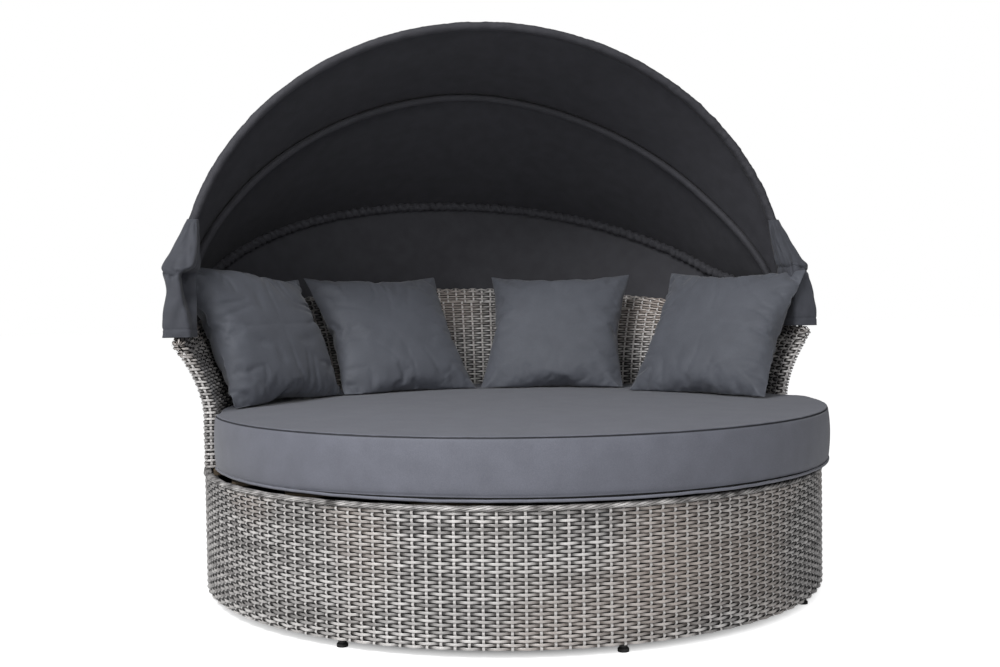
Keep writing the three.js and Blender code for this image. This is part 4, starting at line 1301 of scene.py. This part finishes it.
def boot_plan(levels, z):
    """The hood's plan at a height, from the outer side's back round the front to the inner side's back: even places
    and the way out at each, as a function of a share."""
    marks = [level[0] * MM for level in levels]
    outer, fold, root, inner, front, root_back, inner_back, back, turn = [
        eased_through(marks, [level[k] * MM for level in levels], z) for k in range(1, 10)]
    corners = [Vector((outer, back)), Vector((outer, front)), Vector((fold, front)), Vector((root, root_back)),
               Vector((inner, inner_back))]
    points = [corners[0]]
    for before, corner, after in zip(corners, corners[1:], corners[2:]):
        a = corner + (before - corner).normalized() * min(turn, (before - corner).length * 0.45)
        b = corner + (after - corner).normalized() * min(turn, (after - corner).length * 0.45)
        for k in range(7):
            points.append(a.lerp(corner, k / 6).lerp(corner.lerp(b, k / 6), k / 6))
    points.append(corners[-1])
    marks = running(points)

    def at(t):
        k, share = step_at(marks, t * marks[-1])
        run = (points[k + 1] - points[k]).normalized()
        return points[k].lerp(points[k + 1], share), Vector((-run.y, run.x, 0))

    return at


class DAYBED_OT_canopy_boots(bpy.types.Operator):
    """Hang the hoods that cover the pivots"""
    bl_idname = "daybed.canopy_boots"
    bl_label = "Canopy boots"

    def execute(self, context):
        look = sizes("canopy")
        faces = canopy_faces()
        for label, side in (("right", 1), ("left", -1)):
            levels = BOOTS[label]
            low, high = levels[0][0] * MM, levels[-1][0] * MM
            plans = {}
            strength = BOOT_GATHERS[label]

            def place(column, row):
                z = low + (high - low) * row / BOOT_ROWS
                t = column / BOOT_COLUMNS
                if row not in plans:
                    plans[row] = boot_plan(levels, z)
                spot, way = plans[row](t)
                around = t * BOOT_AROUND
                line = BOOT_CREASE - DIP_DEPTH * math.exp(-((t - DIP_AT) / DIP_WIDE) ** 2)
                line += 8 * MM * ripple(around / (45 * MM), 0, 6.0 + side)
                over = (z - line) / MM
                # The seam pulls the cloth in unevenly, and slanting gathers run up and down from it
                pull = -5.5 * MM * strength * math.exp(-(over / 5) ** 2)
                pull *= 0.7 + 0.9 * ripple(around / (30 * MM), 0, 1.0 + side)
                reach = math.exp(-abs(over) / (46 if over > 0 else 24))
                slant = around / (23 * MM) + over / 75
                gather = 7 * MM * strength * reach * ripple(slant, z / (70 * MM), 5.0 + side)
                hang = 3.4 * MM * (1 - row / BOOT_ROWS) * ripple(around / (62 * MM), z / (170 * MM), 2.0 + side)
                crush = 2.6 * MM * ripple(around / (34 * MM), z / (38 * MM), 9.0 + side)
                hem = 1.3 * MM if row in HEM_ROWS else 0
                ends = smooth(row / 4) * smooth((BOOT_ROWS - row) / 8)
                off = (pull + gather + hang + crush) * ends - hem
                return Vector((side * (spot.x + way.x * off), spot.y + way.y * off, z))

            bm = bmesh.new()
            grid(bm, BOOT_COLUMNS, BOOT_ROWS, place)
            area = sheet_area(bm)
            bmesh.ops.recalc_face_normals(bm, faces=bm.faces)
            probe = max(bm.faces, key=lambda f: abs(f.calc_center_median().x))
            if probe.normal.x * side < 0:
                bmesh.ops.reverse_faces(bm, faces=bm.faces)
            piece = finish_mesh("canopy_boot_" + label + "_cloth", bm, faces, "daybed",
                                ["canopy_boot_" + label])
            thicken(piece, look.cloth)
            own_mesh(piece)
        return {"FINISHED"}


# ---------------------------------------------------------------- frame, stage

FINISHES = {
    "base_frame": powder_coat, "backrest_frame": powder_coat, "pivot_plate": powder_coat, "front_bow": powder_coat,
    "middle_bow": powder_coat, "rear_bow": powder_coat, "foot": nylon, "seat_slat": pine,
    "backrest_bolt": stainless, "pivot_bolt": stainless, "pivot_nut": stainless,
    "middle_bush": nylon, "front_bush": nylon, "rear_bush": nylon,
}


class DAYBED_OT_frame_finish(bpy.types.Operator):
    """Finish the frame, slats, feet and fittings"""
    bl_idname = "daybed.frame_finish"
    bl_label = "Frame finish"

    def execute(self, context):
        made = {}
        for name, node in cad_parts.items():
            for start, maker in FINISHES.items():
                if name.startswith(start):
                    if maker not in made:
                        made[maker] = maker()
                    node.data.materials.clear()
                    node.data.materials.append(made[maker])
        return {"FINISHED"}


# The camera, fitted to the photograph: its place, its turns in radians and its sensor's width in millimetres
CAMERA_PLACE = (-0.853, -3.580, 0.827)
CAMERA_PITCH, CAMERA_YAW, CAMERA_ROLL = 0.0289, -0.0089, -0.0135
SENSOR_WIDTH = 36

# The lamps' places. They are discs of one size, aimed at one spot
LAMPS = {"key": (-2.7, -2.5, 4.3), "front": (0.6, -4.6, 3.6), "low": (-2.8, -4.2, 1.2)}
LAMP_SIZE = 2.4
LAMP_TARGET = (0, -0.1, 0.5)

FLOOR_SIZE = 30
FLOOR_GLOW = 0.87
# Width of the painted contact shadow under the drum's edge, where the floor's glow fades
GLOW_EDGE = 100 * MM


def lay_floor(rgb):
    """A floor that glows for the camera, so that it looks nearly white. The glow fades out by position under the
    drum's edge, a painted contact shadow.
    """
    made, tree, surface = material("studio floor, painted")
    base, _ = mottled(tree, 2.0, shade(rgb, 0.99), rgb)
    surfaced(tree, surface, base, Roughness=0.9)
    away = add(tree, "ShaderNodeVectorMath", {0: own_place(tree)}, operation="LENGTH").outputs["Value"]
    # The glow fades out by position under the drum's edge, so the floor's rendered shade shows there: painted
    # shadow
    clear = add(tree, "ShaderNodeMapRange", {
        "Value": away, "From Min": DRUM_RADIUS - GLOW_EDGE, "From Max": DRUM_RADIUS, "To Max": FLOOR_GLOW})
    ray = add(tree, "ShaderNodeLightPath").outputs["Is Camera Ray"]
    part = add(tree, "ShaderNodeMath", {0: ray, 1: clear.outputs[0]}, operation="MULTIPLY")
    glow = add(tree, "ShaderNodeEmission", {"Color": (1, 1, 1, 1), "Strength": part.outputs[0]})
    both = add(tree, "ShaderNodeAddShader", {0: surface.outputs[0], 1: glow.outputs[0]})
    tree.links.new(both.outputs[0], tree.nodes["Material Output"].inputs["Surface"])
    bm = bmesh.new()
    bmesh.ops.create_grid(bm, x_segments=1, y_segments=1, size=FLOOR_SIZE)
    mesh = bpy.data.meshes.new("floor")
    bm.to_mesh(mesh)
    bm.free()
    mesh.materials.append(made)
    floor = bpy.data.objects.new("floor", mesh)
    bpy.context.scene.collection.objects.link(floor)


def light_sky(strength):
    """Even light all round, with plain white behind for the camera."""
    world = bpy.data.worlds.new("studio")
    world.use_nodes = True
    bpy.context.scene.world = world
    tree = world.node_tree
    tree.nodes.clear()
    ray = add(tree, "ShaderNodeLightPath").outputs["Is Camera Ray"]
    backdrop = add(tree, "ShaderNodeBackground", {"Color": (1, 1, 1, 1), "Strength": 1.0})
    light = add(tree, "ShaderNodeBackground", {"Color": (0.97, 0.98, 1, 1), "Strength": strength})
    both = add(tree, "ShaderNodeMixShader", {0: ray, 1: light.outputs[0], 2: backdrop.outputs[0]})
    add(tree, "ShaderNodeOutputWorld", {"Surface": both.outputs[0]})


def camera_pose():
    level = math.cos(CAMERA_PITCH)
    ahead = Vector((math.sin(CAMERA_YAW) * level, math.cos(CAMERA_YAW) * level, -math.sin(CAMERA_PITCH)))
    ahead = Matrix.Rotation(-VIEW_SWING, 3, "Z") @ ahead
    right = ahead.cross(Vector((0, 0, 1))).normalized()
    up = right.cross(ahead)
    turned_right = right * math.cos(CAMERA_ROLL) + up * math.sin(CAMERA_ROLL)
    turned_up = up * math.cos(CAMERA_ROLL) - right * math.sin(CAMERA_ROLL)
    pose = Matrix((turned_right, turned_up, -ahead)).transposed().to_4x4()
    pose.translation = Vector(CAMERA_PLACE)
    return pose


class DAYBED_OT_stage(bpy.types.Operator):
    """Set the floor, the lights and the camera"""
    bl_idname = "daybed.stage"
    bl_label = "Stage"

    def execute(self, context):
        look = sizes("stage")
        scene = context.scene
        scene.view_settings.view_transform = "Standard"
        lay_floor(look.floor)
        light_sky(look.sky)
        for name, place in LAMPS.items():
            data = bpy.data.lights.new(name, "AREA")
            data.shape = "DISK"
            data.size = LAMP_SIZE
            data.energy = getattr(look, name)
            made = bpy.data.objects.new(name, data)
            made.location = place
            made.rotation_euler = (Vector(LAMP_TARGET) - Vector(place)).to_track_quat("-Z", "Y").to_euler()
            scene.collection.objects.link(made)

        camera = bpy.data.cameras.new("camera")
        camera.sensor_width = SENSOR_WIDTH
        camera.lens = look.lens
        camera.clip_end = 100
        view = bpy.data.objects.new("camera", camera)
        view.matrix_world = camera_pose()
        scene.collection.objects.link(view)
        scene.camera = view
        return {"FINISHED"}


OPERATORS = [
    DAYBED_OT_stage, DAYBED_OT_frame_finish, DAYBED_OT_drum_weave, DAYBED_OT_rim_braid, DAYBED_OT_back_weave,
    DAYBED_OT_seat_cushion, DAYBED_OT_pillows, DAYBED_OT_canopy_panels, DAYBED_OT_canopy_sleeves,
    DAYBED_OT_canopy_boots,
]

GROUPS = {
    "weave": WeaveSizes, "seat": SeatSizes, "pillows": PillowSizes, "canopy": CanopySizes, "frame": FrameSizes,
    "stage": StageSizes,
}


class DAYBED_PT_panel(bpy.types.Panel):
    """Sizes, colours and steps of the daybed"""
    bl_label = "Daybed"
    bl_idname = "DAYBED_PT_panel"
    bl_space_type = "VIEW_3D"
    bl_region_type = "UI"
    bl_category = "Daybed"

    def draw(self, context):
        for name, group in GROUPS.items():
            box = self.layout.box()
            box.label(text=name.capitalize())
            for key in group.__annotations__:
                box.prop(sizes(name), key)
        for operator in OPERATORS:
            self.layout.operator(operator.bl_idname)


def register():
    for name, group in GROUPS.items():
        bpy.utils.register_class(group)
        setattr(bpy.types.Scene, "daybed_" + name, PointerProperty(type=group))
    for entry in [*OPERATORS, DAYBED_PT_panel]:
        bpy.utils.register_class(entry)


def unregister():
    for entry in reversed([*OPERATORS, DAYBED_PT_panel]):
        bpy.utils.unregister_class(entry)
    for name, group in GROUPS.items():
        delattr(bpy.types.Scene, "daybed_" + name)
        bpy.utils.unregister_class(group)


def main():
    register()
    for operator in OPERATORS:
        group, name = operator.bl_idname.split(".")
        getattr(getattr(bpy.ops, group), name)()


if __name__ == "__main__":
    main()
